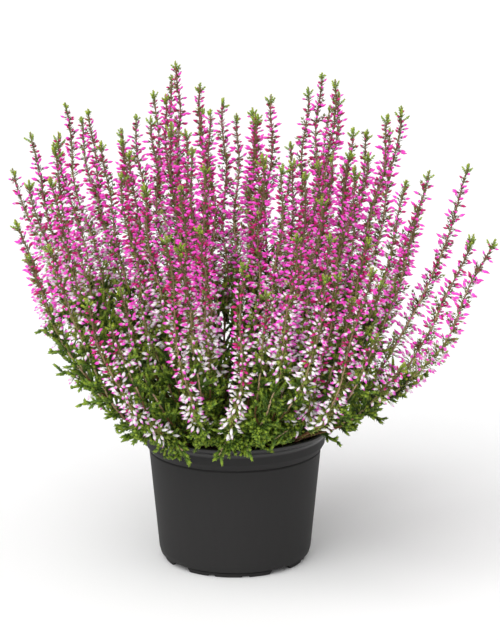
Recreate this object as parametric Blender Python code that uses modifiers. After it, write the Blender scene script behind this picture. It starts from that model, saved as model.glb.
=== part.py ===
"""A potted heather: a dark nursery pot filled with soil, and the flowering shoots that stand in it.

The pot's axis is the world Z axis and its feet stand on z = 0. Lengths in the constants are in
millimetres. The shoots fan out of the soil like a fountain: every stem keeps to its own place in
one common fan, so that no two of them cross.
"""

import math
import random

import bmesh
import bpy
from mathutils import Matrix, Vector
from mathutils.bvhtree import BVHTree
from mathutils.kdtree import KDTree

MM = 0.001
UP = Vector((0.0, 0.0, 1.0))

# Pot
POT_SIDES = 28
LIP_RADIUS = 60.0
LIP_TOP = 85.3
LIP_UNDERSIDE = 80.0
BAND_RADIUS = 55.2
BAND_BOTTOM = 74.0
WALL_TOP_RADIUS = 52.1
WALL_TOP = 69.8
WALL_BOTTOM_RADIUS = 46.0
WALL_BOTTOM = 7.0
LEDGE_RADIUS = 44.8
FOOT_RADIUS = 43.6
FOOT_HEIGHT = 3.1
FOOT_THICKNESS = 2.2
FLOOR_THICKNESS = 1.4
WALL_THICKNESS = 1.5

# The foot ring is cut by four wide gaps, and each foot has two small nicks in its lower edge
FOOT_GAPS = 4
FOOT_GAP_WIDTH = 14.5
FOOT_GAP_TURN = 40.0
FOOT_NICK_WIDTH = 4.2
FOOT_NICK_HEIGHT = 1.0
FOOT_NICK_TURN = 13.7
DRAIN_HOLES = 6
DRAIN_HOLE_RADIUS = 3.5
DRAIN_CIRCLE_RADIUS = 31.0

# Soil
GAP = 0.3
SOIL_EDGE_TOP = 76.8
SOIL_TOP = 78.4
SOIL_MOUND_RADIUS = 34.0
HOLE_DEPTH = 6.0
HOLE_SIDES = 4

# Where the picture was taken from: the plane that its sizes are measured on holds the pot's axis
VIEW_DISTANCE = 1400.0
VIEW_RISE = math.radians(13.97)
VIEW_CENTRE_ACROSS = 9.1
VIEW_CENTRE_UP = 156.2
VIEW_TARGET_HEIGHT = 149.4

# Flowering tips as the picture shows them: across from the pot's axis and up from the ground
TIPS_SEEN = (
    (-135, 248), (-133, 217), (-127, 196), (-125, 241), (-124, 270), (-113, 202), (-112, 243),
    (-110, 264), (-107, 270), (-103, 288), (-90, 169), (-89, 284), (-81, 265), (-76, 154),
    (-70, 176), (-69, 266), (-69, 246), (-64, 259), (-60, 281), (-55, 239), (-51, 280),
    (-42, 293), (-42, 208), (-39, 276), (-36, 313), (-33, 203), (-33, 238), (-30, 272),
    (-26, 261), (-21, 214), (-21, 300), (-19, 251), (-15, 284), (-7, 291), (5, 191), (14, 281),
    (17, 257), (19, 174), (22, 293), (29, 251), (36, 254), (38, 209), (40, 200), (43, 246),
    (51, 253), (53, 306), (53, 231), (56, 183), (58, 209), (59, 256), (61, 302), (64, 185),
    (70, 259), (72, 273), (72, 170), (73, 250), (81, 258), (82, 206), (84, 188), (87, 148),
    (90, 180), (93, 281), (101, 286), (103, 130), (104, 241), (118, 247), (142, 251),
    (145, 208), (158, 205),
)

# The outermost tips on either side, whose depth settles how wide the bush is
TIP_DEPTHS = {(-135, 248): 98.0, (158, 205): -96.0}
FRONT_EDGE = 141.0
BACK_EDGE = 120.0

# Green leafy side sprigs round the pot's rim, read in the same way
SPRIGS_SEEN = (
    (-111, 139), (-105, 125), (-94, 113), (-82, 100), (-67, 86), (-28, 72), (-10, 73), (8, 77),
    (24, 84), (58, 95), (73, 96), (86, 101), (96, 110), (109, 123),
)

# Sprigs on the far side: their bearings, distance from the axis and height
SPRIGS_BEHIND = (15, 42, 68, 95, 121, 150)
SPRIG_BEHIND_RADIUS = 88.0
SPRIG_BEHIND_HEIGHT = 108.0

# The fan: how far out its outermost stem stands at each height
FAN = (
    (70, 48), (78, 48), (84, 52), (90, 61), (96, 75), (104, 91), (118, 106), (132, 118),
    (147, 129), (165, 140), (190, 151), (216, 163), (232, 169), (260, 176), (330, 190),
)

# The bush's own outline: its height over the pot's axis, and how it falls off outwards
CROWN_HEIGHT = 308.0
CROWN_DROP = 92.0
CROWN_RADIUS = 168.0
CROWN_POWER = 2.6

# The tips, moved in depth until they stand this far apart, and those that no picture shows
TIP_SPACING = 24.0
TIP_SHIFT = 60.0
TIP_ROUNDS = 150
TIP_PUSH = 0.15
HIDDEN_TIPS = 22
HIDDEN_TRIES = 300
HIDDEN_ACROSS = 112.0
LOWEST_HIDDEN_TIP = 185.0
SKYLINE_WIDTH = 14.0
BELOW_SKYLINE = 8.0

# The roots, as places in the fan: 0 is on its axis, 1 on its outermost stem
NODES = 58
ROOT_SPACING = 0.172
ROOT_SHARE = 0.6
ROOT_ROUNDS = 200
ROOT_PUSH = 0.4
FAN_EDGE = 1.03

# The stems: each leans from its root's place in the fan to its tip's, and sways a little
LEAN_HEIGHT = 88.0
LEAN_LENGTH = 60.0
FORK_LOW = 98.0
FORK_HIGH = 128.0
FORK_OPENING = 44.0
SWAY = 0.010
SWAY_LENGTH = 75.0
SWAY_START = 84.0
SWAY_FADE_IN = 30.0
SWAY_FADE_OUT = 20.0
STEM_RADIUS = 1.1
SPRAY_CORE_RADIUS = 1.35
SPRIG_CORE_RADIUS = 1.0
CORE_TAPER_LENGTH = 50.0

# Leaves and flower buds, larger than life, three in each whorl
LEAF_REACH = 4.4
LEAF_RISE = 2.6
LEAF_STEP = 14.0
SPRIG_LEAF_STEP = 9.0
BUD_REACH = 6.9
BUD_RISE = 4.4
BUD_STEP = 15.0
PALE_SHARE = 0.3
TUFT_LENGTH = 8.0
TUFT_REACH = 3.0
TUFT_RISE = 2.0
STEM_BARE = 7.0
FORK_BARE = 8.0
SPRIG_BARE = 5.0
SHORTEST_LEAFY = 4.0
CLEARANCE = 0.45
SMALLEST_REACH = 1.2
PEAK_ROUNDS = 12
PEAK_SHRINK = 0.7

# Room that stems keep from each other: low among the leaves, and higher up among the flowers
ROOM_LOW = 6.0
ROOM_HIGH = 10.0
ROOM_HEIGHT_LOW = 90.0
ROOM_HEIGHT_RANGE = 70.0
BEND_ROUNDS = 36
SPRIG_BEND_ROUNDS = 16
BEND_PUSH = 0.16
LARGEST_BEND = 1.2
SPRIG_ROOM = 7.0
SPRIG_LEAST_ROOM = 3.7
SPRIG_START_HEIGHTS = (87.5, 91.0, 95.0, 100.0)
SHORTEST_SPRIG = 17.0
LONGEST_SPRIG = 60.0
FORK_WIDENING = 0.72
FORK_HALF_HEIGHT = 2.5


def smooth_value(table, x):
    """The height of a smooth line through a table's points, level beyond both ends."""
    if x <= table[0][0]:
        return float(table[0][1])
    if x >= table[-1][0]:
        return float(table[-1][1])
    last = len(table) - 1
    i = max(k for k in range(last) if table[k][0] <= x)
    slopes = []
    for k in (i, i + 1):
        a = table[max(k - 1, 0)]
        b = table[min(k + 1, last)]
        slopes.append((b[1] - a[1]) / (b[0] - a[0]))
    width = table[i + 1][0] - table[i][0]
    t = (x - table[i][0]) / width
    return (
        (1 + 2 * t) * (1 - t) ** 2 * table[i][1]
        + t * (1 - t) ** 2 * width * slopes[0]
        + t * t * (3 - 2 * t) * table[i + 1][1]
        + t * t * (t - 1) * width * slopes[1]
    )


def fan_radius(z):
    return smooth_value(FAN, z)


def crown_height(radius):
    return CROWN_HEIGHT - CROWN_DROP * (radius / CROWN_RADIUS) ** CROWN_POWER


def point_seen(across, up, depth):
    """The point at this depth behind the pot's axis that the picture shows at across, up."""
    right = across - VIEW_CENTRE_ACROSS
    above = up - VIEW_CENTRE_UP
    sine = math.sin(VIEW_RISE)
    cosine = math.cos(VIEW_RISE)
    height = above * (1 + depth * cosine / VIEW_DISTANCE) - depth * sine
    height /= cosine + above * sine / VIEW_DISTANCE
    away = VIEW_DISTANCE + depth * cosine - height * sine
    x = right * away / VIEW_DISTANCE + VIEW_CENTRE_ACROSS
    return Vector((x, depth, VIEW_TARGET_HEIGHT + height))


def seen_from_front(point):
    """Where the picture shows a point, as across and up."""
    sine = math.sin(VIEW_RISE)
    cosine = math.cos(VIEW_RISE)
    height = point.z - VIEW_TARGET_HEIGHT
    away = VIEW_DISTANCE + point.y * cosine - height * sine
    across = (point.x - VIEW_CENTRE_ACROSS) * VIEW_DISTANCE / away + VIEW_CENTRE_ACROSS
    up = (point.y * sine + height * cosine) * VIEW_DISTANCE / away + VIEW_CENTRE_UP
    return across, up


def depth_on_crown(across, up):
    """The depth at which the line of sight first meets the crown, or comes nearest to it."""
    best = None
    for step in range(-30, 21):
        depth = 5.0 * step
        point = point_seen(across, up, depth)
        over = point.z - crown_height(math.hypot(point.x, point.y))
        if over < 0:
            return depth
        if best is None or over < best[0]:
            best = (over, depth)
    return best[1]


def seen_tips():
    """Every tip in the picture, at a depth on the crown that keeps it clear of the others."""
    depths = [depth_on_crown(across, up) for across, up in TIPS_SEEN]
    held = set()
    for tip, depth in TIP_DEPTHS.items():
        held.add(TIPS_SEEN.index(tip))
        depths[TIPS_SEEN.index(tip)] = depth
    first = list(depths)
    for _ in range(TIP_ROUNDS):
        points = [point_seen(a, u, d) for (a, u), d in zip(TIPS_SEEN, depths)]
        for i, point in enumerate(points):
            if i in held:
                continue
            push = 0.0
            for j, other in enumerate(points):
                offset = Vector((point.x - other.x, point.y - other.y))
                if i != j and offset.length < TIP_SPACING:
                    side = 1.0 if (point.y, i) > (other.y, j) else -1.0
                    push += side * (TIP_SPACING - offset.length) * TIP_PUSH
            depths[i] = min(max(depths[i] + push, first[i] - TIP_SHIFT), first[i] + TIP_SHIFT)
            depths[i] = min(max(depths[i], -FRONT_EDGE), BACK_EDGE)
    return [point_seen(a, u, d) for (a, u), d in zip(TIPS_SEEN, depths)]


def hidden_top(spot, seen):
    """The highest tip at a place in the fan that stays in the crown and below the skyline."""
    height = CROWN_HEIGHT
    while height > LOWEST_HIDDEN_TIP:
        place = spot * fan_radius(height)
        top = Vector((place.x, place.y, height))
        across, up = seen_from_front(top)
        skyline = max((other for a, other in seen if abs(a - across) < SKYLINE_WIDTH), default=0.0)
        inside = abs(across) < HIDDEN_ACROSS and place.length < FRONT_EDGE
        inside = inside and height <= crown_height(place.length)
        if inside and up < skyline - BELOW_SKYLINE:
            return top
        height -= 3.0
    return None


def hidden_tips(tips, rng):
    """Tips that the picture can't show, where the fan has most room for them."""
    seen = [seen_from_front(tip) for tip in tips]
    taken = [fan_place(tip) for tip in tips]
    found = []
    for _ in range(HIDDEN_TIPS):
        best = None
        for _ in range(HIDDEN_TRIES):
            turn = rng.uniform(0, math.tau)
            spot = Vector((math.cos(turn), math.sin(turn))) * math.sqrt(rng.random())
            room = min((place - spot).length for place in taken)
            if best is None or room > best[0]:
                top = hidden_top(spot, seen)
                if top is not None:
                    best = (room, spot, top)
        found.append(best[2])
        taken.append(best[1])
    return found


def fan_place(tip):
    """A tip's place in the fan, which its stem keeps at every height."""
    return Vector((tip.x, tip.y)) / fan_radius(tip.z)


def paired(places, tips):
    """Stems in groups of one or two: the nearest neighbours share a root, the taller first."""
    pairs = []
    for i in range(len(places)):
        for j in range(i + 1, len(places)):
            pairs.append(((places[i] - places[j]).length, i, j))
    pairs.sort()
    wanted = len(places) - NODES
    groups = []
    used = set()
    for _, i, j in pairs:
        if len(groups) < wanted and i not in used and j not in used:
            used.update((i, j))
            groups.append((i, j) if tips[i].z >= tips[j].z else (j, i))
    groups += [(i,) for i in range(len(places)) if i not in used]
    return groups


def root_places(groups, places):
    """Places of the roots in the fan, moved apart until each has room for its stem."""
    roots = []
    for group in groups:
        if len(group) == 2:
            roots.append(places[group[1]].lerp(places[group[0]], ROOT_SHARE))
        else:
            roots.append(places[group[0]].copy())
    for _ in range(ROOT_ROUNDS):
        moves = [Vector((0.0, 0.0)) for _ in roots]
        for i, a in enumerate(roots):
            for j in range(i + 1, len(roots)):
                offset = a - roots[j]
                if offset.length < ROOT_SPACING:
                    push = offset.normalized() * (ROOT_SPACING - offset.length) * ROOT_PUSH
                    moves[i] += push
                    moves[j] -= push
        for i, move in enumerate(moves):
            roots[i] += move
            if roots[i].length > FAN_EDGE:
                roots[i] = roots[i].normalized() * FAN_EDGE
    return roots


class Route:
    """A stem's centre line, read by the length along it."""

    def __init__(self, points):
        self.points = points
        self.lengths = [0.0]
        for a, b in zip(points, points[1:]):
            self.lengths.append(self.lengths[-1] + (b - a).length)
        self.length = self.lengths[-1]

    def at(self, length):
        length = min(max(length, 0.0), self.length)
        k = 0
        while k < len(self.points) - 2 and self.lengths[k + 1] < length:
            k += 1
        span = self.lengths[k + 1] - self.lengths[k]
        return self.points[k].lerp(self.points[k + 1], (length - self.lengths[k]) / span)

    def heading(self, length):
        return (self.at(length + 2.0) - self.at(length - 2.0)).normalized()

    def length_at_height(self, z):
        for k, point in enumerate(self.points):
            if point.z >= z:
                return self.lengths[k]
        return self.length


def ease_in_out(t):
    t = min(max(t, 0.0), 1.0)
    return t * t * (3 - 2 * t)


def ease_out(t):
    t = min(max(t, 0.0), 1.0)
    return 1 - (1 - t) ** 2


def fan_route(place_at, low, tip):
    """A route through the fan from height low to the tip."""
    points = []
    steps = max(int((tip.z - low) / 2.0), 4)
    for k in range(steps + 1):
        z = low + (tip.z - low) * k / steps
        place = place_at(z) * fan_radius(z)
        points.append(Vector((place.x, place.y, z)))
    return Route(points)


def sway_fade(z, start, tip):
    return ease_in_out((z - start) / SWAY_FADE_IN) * ease_in_out((tip.z - z) / SWAY_FADE_OUT)


def stem_routes(root, group, places, tips, rng):
    """The main stem's route and, for a pair, the side stem's with the height it forks at."""
    tip = tips[group[0]]
    phase = rng.uniform(0, math.tau)
    wave = rng.uniform(0.8, 1.2) * math.tau / SWAY_LENGTH
    fork = rng.uniform(FORK_LOW, FORK_HIGH) if len(group) == 2 else LEAN_HEIGHT
    spread = FORK_OPENING if len(group) == 2 else LEAN_LENGTH

    def main_place(z):
        place = root.lerp(places[group[0]], ease_in_out((z - fork) / spread))
        sway = SWAY * sway_fade(z, SWAY_START, tip) * math.sin(wave * z + phase)
        return place + Vector((sway, sway * math.cos(phase)))

    routes = [fan_route(main_place, SOIL_EDGE_TOP, tip)]
    forks = []
    if len(group) == 2:
        side_tip = tips[group[1]]
        trunk = main_place(fork)

        def side_place(z):
            place = trunk.lerp(places[group[1]], ease_out((z - fork) / spread))
            fade = sway_fade(z, fork + spread, side_tip)
            sway = SWAY * fade * math.sin(wave * z + phase + 2.0)
            return place + Vector((sway, -sway))

        routes.append(fan_route(side_place, fork, side_tip))
        forks.append(fork)
    return routes, forks


def sprig_route(start, heading, tip):
    """A side sprig: it leaves its stem sideways, clears the rim and hangs or rises to its tip."""
    reach = (tip - start).length
    outward = Vector((tip.x - start.x, tip.y - start.y, 0.0)).normalized()
    sideways = tip - start
    sideways -= heading * sideways.dot(heading)
    sideways.z = max(sideways.z, 0.0)
    sideways.normalize()
    bend = start + (sideways + heading * 0.6).normalized() * reach * 0.45
    fall = tip - (outward + UP * 0.1).normalized() * reach * 0.3 + UP * 3.0
    points = []
    for k in range(13):
        t = k / 12
        a = start.lerp(bend, t)
        b = bend.lerp(fall, t)
        c = fall.lerp(tip, t)
        points.append(a.lerp(b, t).lerp(b.lerp(c, t), t))
    return Route(points)


def flowers_from(root, tip):
    """The height at which a stem's flowers begin: lower on the outer stems and in front."""
    outer = ease_in_out((root.length - 0.35) / 0.5)
    front = ease_in_out(-tip.y / 90.0)
    return 156.0 - 44.0 * max(outer, front) - 8.0 * outer * front


class Stem:
    """One stem: its route, where it grows from, and how its leaves and buds change along it."""

    def __init__(self, route, owner, flowers, parent=None, fork_length=0.0):
        self.route = route
        self.owner = owner
        self.flowers = flowers
        self.parent = parent
        self.fork_length = fork_length

    def stations(self, forks):
        """Lengths along the route of the stem's rings, with what each stretch below them bears.

        Round each fork a short bare stretch is set in, for the side stem to grow from.
        """
        marks = self.plain_stations()
        for fork in forks:
            low = fork - FORK_HALF_HEIGHT
            high = fork + FORK_HALF_HEIGHT
            kind = next((mark[1] for mark in marks if mark[0] >= low), "leaf")
            marks = [mark for mark in marks if abs(mark[0] - fork) > FORK_HALF_HEIGHT + 2.5]
            marks += [(low, kind), (high, "bare")]
            marks.sort()
        return marks

    def plain_stations(self):
        end = self.route.length - TUFT_LENGTH * 0.5
        if self.flowers is None:
            leafy = end - SPRIG_BARE
            count = max(1, round(leafy / SPRIG_LEAF_STEP))
            leaves = [(SPRIG_BARE + leafy * (k + 1) / count, "leaf") for k in range(count)]
            return [(SPRIG_BARE, "bare")] + leaves
        bare = STEM_BARE if self.parent is None else FORK_BARE
        marks = [(bare, "bare")]
        bloom = max(self.route.length_at_height(self.flowers), bare)
        bloom = min(bloom, end - TUFT_LENGTH - BUD_STEP)
        leafy = bloom - bare
        if leafy > SHORTEST_LEAFY:
            count = max(1, round(leafy / LEAF_STEP))
            marks += [(bare + leafy * (k + 1) / count, "leaf") for k in range(count)]
        begin = marks[-1][0]
        stretch = end - TUFT_LENGTH - begin
        count = max(1, round(stretch / BUD_STEP))
        marks += [(begin + stretch * (k + 1) / count, "bud") for k in range(count)]
        marks.append((end, "tuft"))
        return marks


def plan_stems():
    """All stems, each group of them rising from one root, and the places of the roots."""
    rng = random.Random(20240)
    tips = seen_tips()
    tips += hidden_tips(tips, rng)
    places = [fan_place(tip) for tip in tips]
    groups = paired(places, tips)
    roots = root_places(groups, places)
    order = sorted(range(len(groups)), key=lambda k: math.atan2(roots[k].y, roots[k].x))
    stems = []
    for owner, k in enumerate(order):
        group = groups[k]
        routes, forks = stem_routes(roots[k], group, places, tips, rng)
        main = Stem(routes[0], owner, flowers_from(roots[k], tips[group[0]]))
        stems.append(main)
        for route, fork in zip(routes[1:], forks):
            flowers = flowers_from(roots[k], tips[group[1]])
            length = main.route.length_at_height(fork)
            stems.append(Stem(route, owner, flowers, main, length))
    bend_clear(stems, stems, BEND_ROUNDS)
    sprigs = plan_sprigs(stems)
    stems += sprigs
    bend_clear(stems, sprigs, SPRIG_BEND_ROUNDS)
    return stems, [roots[k] * fan_radius(SOIL_TOP) for k in order]


def lip_points():
    """Points round the pot's lip, which stems and leaves keep clear of."""
    count = 180
    points = []
    for k in range(count):
        turn = math.tau * k / count
        out = Vector((math.cos(turn), math.sin(turn), 0.0))
        points.append(out * (LIP_RADIUS - 1.7) + UP * LIP_TOP)
        points.append(out * LIP_RADIUS + UP * (LIP_TOP - 1.3))
    return points


def room_wanted(a, first, b, second):
    """The room that two points on two stems want between them."""
    rise = (min(a.z, b.z) - ROOM_HEIGHT_LOW) / ROOM_HEIGHT_RANGE
    room = ROOM_LOW + (ROOM_HIGH - ROOM_LOW) * ease_in_out(rise)
    for child, parent, point in ((first, second, a), (second, first, b)):
        if child.parent is parent:
            from_fork = (point - child.route.points[0]).length
            return min(room, FORK_WIDENING * from_fork)
        if child.parent and child.parent is parent.parent:
            return min(room, FORK_WIDENING * (point - child.route.points[0]).length)
    return room


def bend_clear(stems, bending, rounds):
    """Bends stems apart where they come too near, with their roots, forks and tips held."""
    for _ in range(rounds):
        samples = []
        for number, stem in enumerate(stems):
            for index, point in enumerate(stem.route.points):
                samples.append((point, number, index))
        tree = KDTree(len(samples))
        for index, sample in enumerate(samples):
            tree.insert(sample[0], index)
        tree.balance()
        moves = [[Vector() for _ in stem.route.points] for stem in stems]
        for point, number, index in samples:
            for other, found, gap in tree.find_range(point, ROOM_HIGH):
                neighbour = samples[found][1]
                if neighbour == number:
                    continue
                room = room_wanted(point, stems[number], other, stems[neighbour])
                away = Vector((point.x - other.x, point.y - other.y, 0.0))
                if gap < room and away.length > 0.01:
                    moves[number][index] += away.normalized() * (room - gap) * BEND_PUSH
        for number, stem in enumerate(stems):
            if stem in bending:
                push_route(stem, moves[number])
        for stem in bending:
            if stem.parent is not None:
                seat_on_parent(stem)
    for stem in bending:
        stem.route = Route(stem.route.points)


def push_route(stem, moves):
    """Moves a route's points, smoothed along it, and less towards its two ends."""
    for _ in range(4):
        last = len(moves) - 1
        moves = [
            (moves[max(k - 1, 0)] + moves[k] * 2 + moves[min(k + 1, last)]) / 4
            for k in range(len(moves))
        ]
    points = stem.route.points
    for k, move in enumerate(moves):
        if stem.parent is None:
            hold = ease_in_out((points[k].z - SOIL_TOP - 2.0) / 10.0)
        else:
            hold = ease_in_out(k / 2.0)
        hold *= ease_in_out((len(points) - 1 - k) / 8.0)
        if move.length > LARGEST_BEND:
            move = move.normalized() * LARGEST_BEND
        points[k] = points[k] + move * hold


def seat_on_parent(stem):
    """Brings a side stem's start back onto the stem that it grows from."""
    parent = Route(stem.parent.route.points)
    length = parent.length_at_height(stem.route.points[0].z)
    shift = parent.at(length) - stem.route.points[0]
    stem.fork_length = length
    for k, point in enumerate(stem.route.points):
        stem.route.points[k] = point + shift * (1.0 - ease_in_out(k / 8.0))


def sprig_tip(across, up):
    """A sprig's tip, just outside the pot's rim at least."""
    side = min(abs(across) / 115.0, 1.0)
    depth = -math.sqrt(1 - side * side) * 74.0 - 4.0
    tip = point_seen(across, up, depth)
    out = Vector((tip.x, tip.y))
    if out.length < 70.0:
        out = out.normalized() * 70.0
    return Vector((out.x, out.y, max(tip.z, 85.0)))


def room_beside(route, number, samples, tree):
    """The least distance from a route, past its first points, to any stem but its own."""
    least = SPRIG_ROOM
    for point in route.points[1:]:
        for _, index, gap in tree.find_range(point, SPRIG_ROOM):
            if samples[index][1] != number:
                least = min(least, gap)
    return least


def best_sprig(tip, stems, carrying, samples):
    """The shortest clear way to a sprig's tip from a stem that bears no sprig yet."""
    tree = KDTree(len(samples))
    for index, (point, _) in enumerate(samples):
        tree.insert(point, index)
    tree.balance()
    best = None
    for number, stem in enumerate(stems):
        if stem.parent is not None or number in carrying:
            continue
        for height in SPRIG_START_HEIGHTS:
            length = stem.route.length_at_height(height)
            start = stem.route.at(length)
            reach = (tip - start).length
            if start.to_2d().length < 40.0 or not SHORTEST_SPRIG < reach < LONGEST_SPRIG:
                continue
            route = sprig_route(start, stem.route.heading(length), tip)
            room = room_beside(route, number, samples, tree)
            angle = math.degrees((tip - start).angle(stem.route.heading(length)))
            score = route.length + 8.0 * (SPRIG_ROOM - room) + 1.5 * max(0.0, 30.0 - angle)
            if room > SPRIG_LEAST_ROOM and (best is None or score < best[0]):
                best = (score, number, length, route)
    return best


def plan_sprigs(stems):
    """Leafy sprigs round the rim, each on an outer stem that gives it a clear way out."""
    samples = []
    for number, stem in enumerate(stems):
        samples += [(point, number) for point in stem.route.points]
    sprigs = []
    carrying = set()
    tips = [sprig_tip(across, up) for across, up in SPRIGS_SEEN]
    for bearing in SPRIGS_BEHIND:
        out = Vector((math.cos(math.radians(bearing)), math.sin(math.radians(bearing)), 0.0))
        tips.append(out * SPRIG_BEHIND_RADIUS + UP * SPRIG_BEHIND_HEIGHT)
    for tip in tips:
        best = best_sprig(tip, stems, carrying, samples)
        if best is None:
            continue
        _, number, length, route = best
        carrying.add(number)
        stem = stems[number]
        sprigs.append(Stem(route, stem.owner, None, stem, length))
        samples += [(point, -1) for point in route.points]
    return sprigs


class Surroundings:
    """Every stem's centre line, to keep leaves and buds on their own stem's side."""

    def __init__(self, stems):
        samples = []
        for number, stem in enumerate(stems):
            count = int(stem.route.length / 2.0)
            for k in range(count + 1):
                samples.append((stem.route.at(stem.route.length * k / count), number))
        samples += [(point, -1) for point in lip_points()]
        self.owners = [number for _, number in samples]
        self.tree = KDTree(len(samples))
        for index, (point, _) in enumerate(samples):
            self.tree.insert(point, index)
        self.tree.balance()

    def reach(self, number, centre, direction, wanted):
        """How far a leaf or bud may reach from its stem before it nears another one."""
        while wanted >= SMALLEST_REACH:
            apex = centre + direction * wanted
            near = self.tree.find_range(apex, wanted + CLEARANCE + SPRAY_CORE_RADIUS)
            if all(self.owners[i] == number for _, i, _ in near):
                return wanted
            wanted *= 0.88
        return 0.0


class Skin:
    """A closed surface that grows: rings of three along a stem, and peaks raised on its faces."""

    def __init__(self, surroundings):
        self.points = []
        self.faces = []
        self.materials = []
        self.peaks = {}
        self.surroundings = surroundings

    def add(self, point):
        self.points.append(point)
        return len(self.points) - 1

    def face(self, corners, material):
        self.faces.append(corners)
        self.materials.append(material)

    def raise_peak(self, corners, apex, material):
        top = self.add(apex)
        self.peaks[top] = self.middle(corners)
        for k in range(3):
            self.face((corners[k], corners[(k + 1) % 3], top), material)

    def ring(self, centre, heading, toward, turn, radius):
        """Three points round a centre, turned from the direction that toward gives."""
        side = (toward - heading * toward.dot(heading)).normalized()
        other = heading.cross(side)
        corners = []
        for k in range(3):
            angle = turn + k * math.tau / 3
            offset = side * math.cos(angle) + other * math.sin(angle)
            corners.append(self.add(centre + offset * radius))
        return corners

    def stretch(self, low, high):
        """The six faces between two rings that are turned half a step against each other."""
        found = []
        for k in range(3):
            nxt = (k + 1) % 3
            found.append((low[k], low[nxt], high[k]))
            found.append((low[nxt], high[nxt], high[k]))
        return found

    def middle(self, corners):
        return sum((self.points[c] for c in corners), Vector()) / 3

    def grow(self, stems, number, first):
        """One stem from its first ring, then every side stem from the face that it leaves."""
        stem = stems[number]
        route = stem.route
        ring = first
        toward = self.points[ring[0]] - self.middle(ring)
        below = 0.0
        children = [k for k, other in enumerate(stems) if other.parent is stem]
        marks = stem.stations([stems[k].fork_length for k in children])
        for length, kind in marks:
            heading = route.heading(length)
            radius = self.ring_radius(stem, length, kind)
            upper = self.ring(route.at(length), heading, toward, math.pi / 3, radius)
            sides = self.stretch(ring, upper)
            for k in children:
                if below < stems[k].fork_length <= length:
                    self.branch(stems, k, sides)
            for corners in sides:
                upright = corners[0] in ring and corners[1] in ring
                self.raise_side(stem, number, corners, kind if upright else "bare")
            toward = self.points[upper[0]] - route.at(length)
            ring = upper
            below = length
        tip = route.at(route.length)
        self.raise_peak(ring, tip, "tip" if stem.flowers is not None else "leaf")

    def ring_radius(self, stem, length, kind):
        end = stem.route.length
        if stem.flowers is None:
            return SPRIG_CORE_RADIUS * (1.0 - 0.35 * length / end)
        if kind == "bare":
            return STEM_RADIUS
        if kind == "leaf":
            return STEM_RADIUS * 1.1
        taper = max(0.0, 1.0 - (end - length) / CORE_TAPER_LENGTH)
        return SPRAY_CORE_RADIUS * (1.0 - 0.25 * taper)

    def branch(self, stems, number, sides):
        """A side stem from the face that looks most nearly its way."""
        ahead = stems[number].route.at(9.0)

        def facing(corners):
            a, b, c = (self.points[k] for k in corners)
            normal = (b - a).cross(c - a).normalized()
            return normal.dot((ahead - self.middle(corners)).normalized())

        chosen = max(sides, key=facing)
        sides.remove(chosen)
        self.grow(stems, number, chosen)

    def raise_side(self, stem, number, corners, kind):
        """A leaf or a bud on one face, or the bare face where there is no room."""
        if kind == "bare":
            self.face(corners, "bark")
            return
        route = stem.route
        middle = self.middle(corners)
        length = self.length_beside(route, middle)
        heading = route.heading(length)
        centre = route.at(length)
        out = middle - centre
        out = (out - heading * out.dot(heading)).normalized()
        end = route.length
        if kind == "bud":
            first = stem.route.length_at_height(stem.flowers)
            along = min(max((length - first) / (end - first), 0.0), 1.0)
            wanted = BUD_REACH * (0.86 + 0.14 * math.sin(math.pi * min(along * 2.0, 1.0) / 2))
            wanted *= 1.0 - 0.3 * max(0.0, along - 0.7) / 0.3
            rise = BUD_RISE
            material = "bud_low" if along < PALE_SHARE else "bud"
        elif kind == "leaf":
            wanted = LEAF_REACH * ease_out(0.45 + length / 40.0)
            rise = LEAF_RISE
            material = "leaf"
        else:
            wanted = TUFT_REACH
            rise = TUFT_RISE
            material = "tip"
        direction = (out + heading * (rise / wanted)).normalized()
        reach = self.surroundings.reach(number, centre, direction, wanted)
        if reach < SMALLEST_REACH:
            self.face(corners, "bark")
            return
        self.raise_peak(corners, centre + direction * reach, material)

    def length_beside(self, route, point):
        """The length along a route at which it passes nearest to a point."""
        nearest = min(range(len(route.points)), key=lambda k: (route.points[k] - point).length)
        length = route.lengths[nearest]
        for step in (1.0, 0.5, 0.25):
            tries = (length - step, length, length + step)
            length = min(tries, key=lambda s: (route.at(s) - point).length)
        return min(max(length, 0.0), route.length)


def lower_crossing_peaks(skins):
    """Draws in the leaves and buds whose faces cross others, until none do."""
    for _ in range(PEAK_ROUNDS):
        points = []
        faces = []
        homes = []
        for skin in skins:
            start = len(points)
            points += skin.points
            faces += [tuple(start + corner for corner in face) for face in skin.faces]
            homes += [(skin, start)] * len(skin.faces)
        tree = BVHTree.FromPolygons(points, faces)
        crossing = set()
        for a, b in tree.overlap(tree):
            if not set(faces[a]) & set(faces[b]):
                crossing.update((a, b))
        lowered = set()
        for number in crossing:
            skin, start = homes[number]
            top = faces[number][2] - start
            if top in skin.peaks and (start, top) not in lowered:
                lowered.add((start, top))
                foot = skin.peaks[top]
                skin.points[top] = foot + (skin.points[top] - foot) * PEAK_SHRINK
        if not lowered:
            break


def make_material(name, colour, roughness):
    material = bpy.data.materials.new(name)
    material.use_nodes = True
    shader = material.node_tree.nodes["Principled BSDF"]
    shader.inputs["Base Color"].default_value = (*colour, 1.0)
    shader.inputs["Roughness"].default_value = roughness
    shader.inputs["Metallic"].default_value = 0.0
    return material


def make_collection(name):
    collection = bpy.data.collections.new(name)
    bpy.context.scene.collection.children.link(collection)
    return collection


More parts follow.
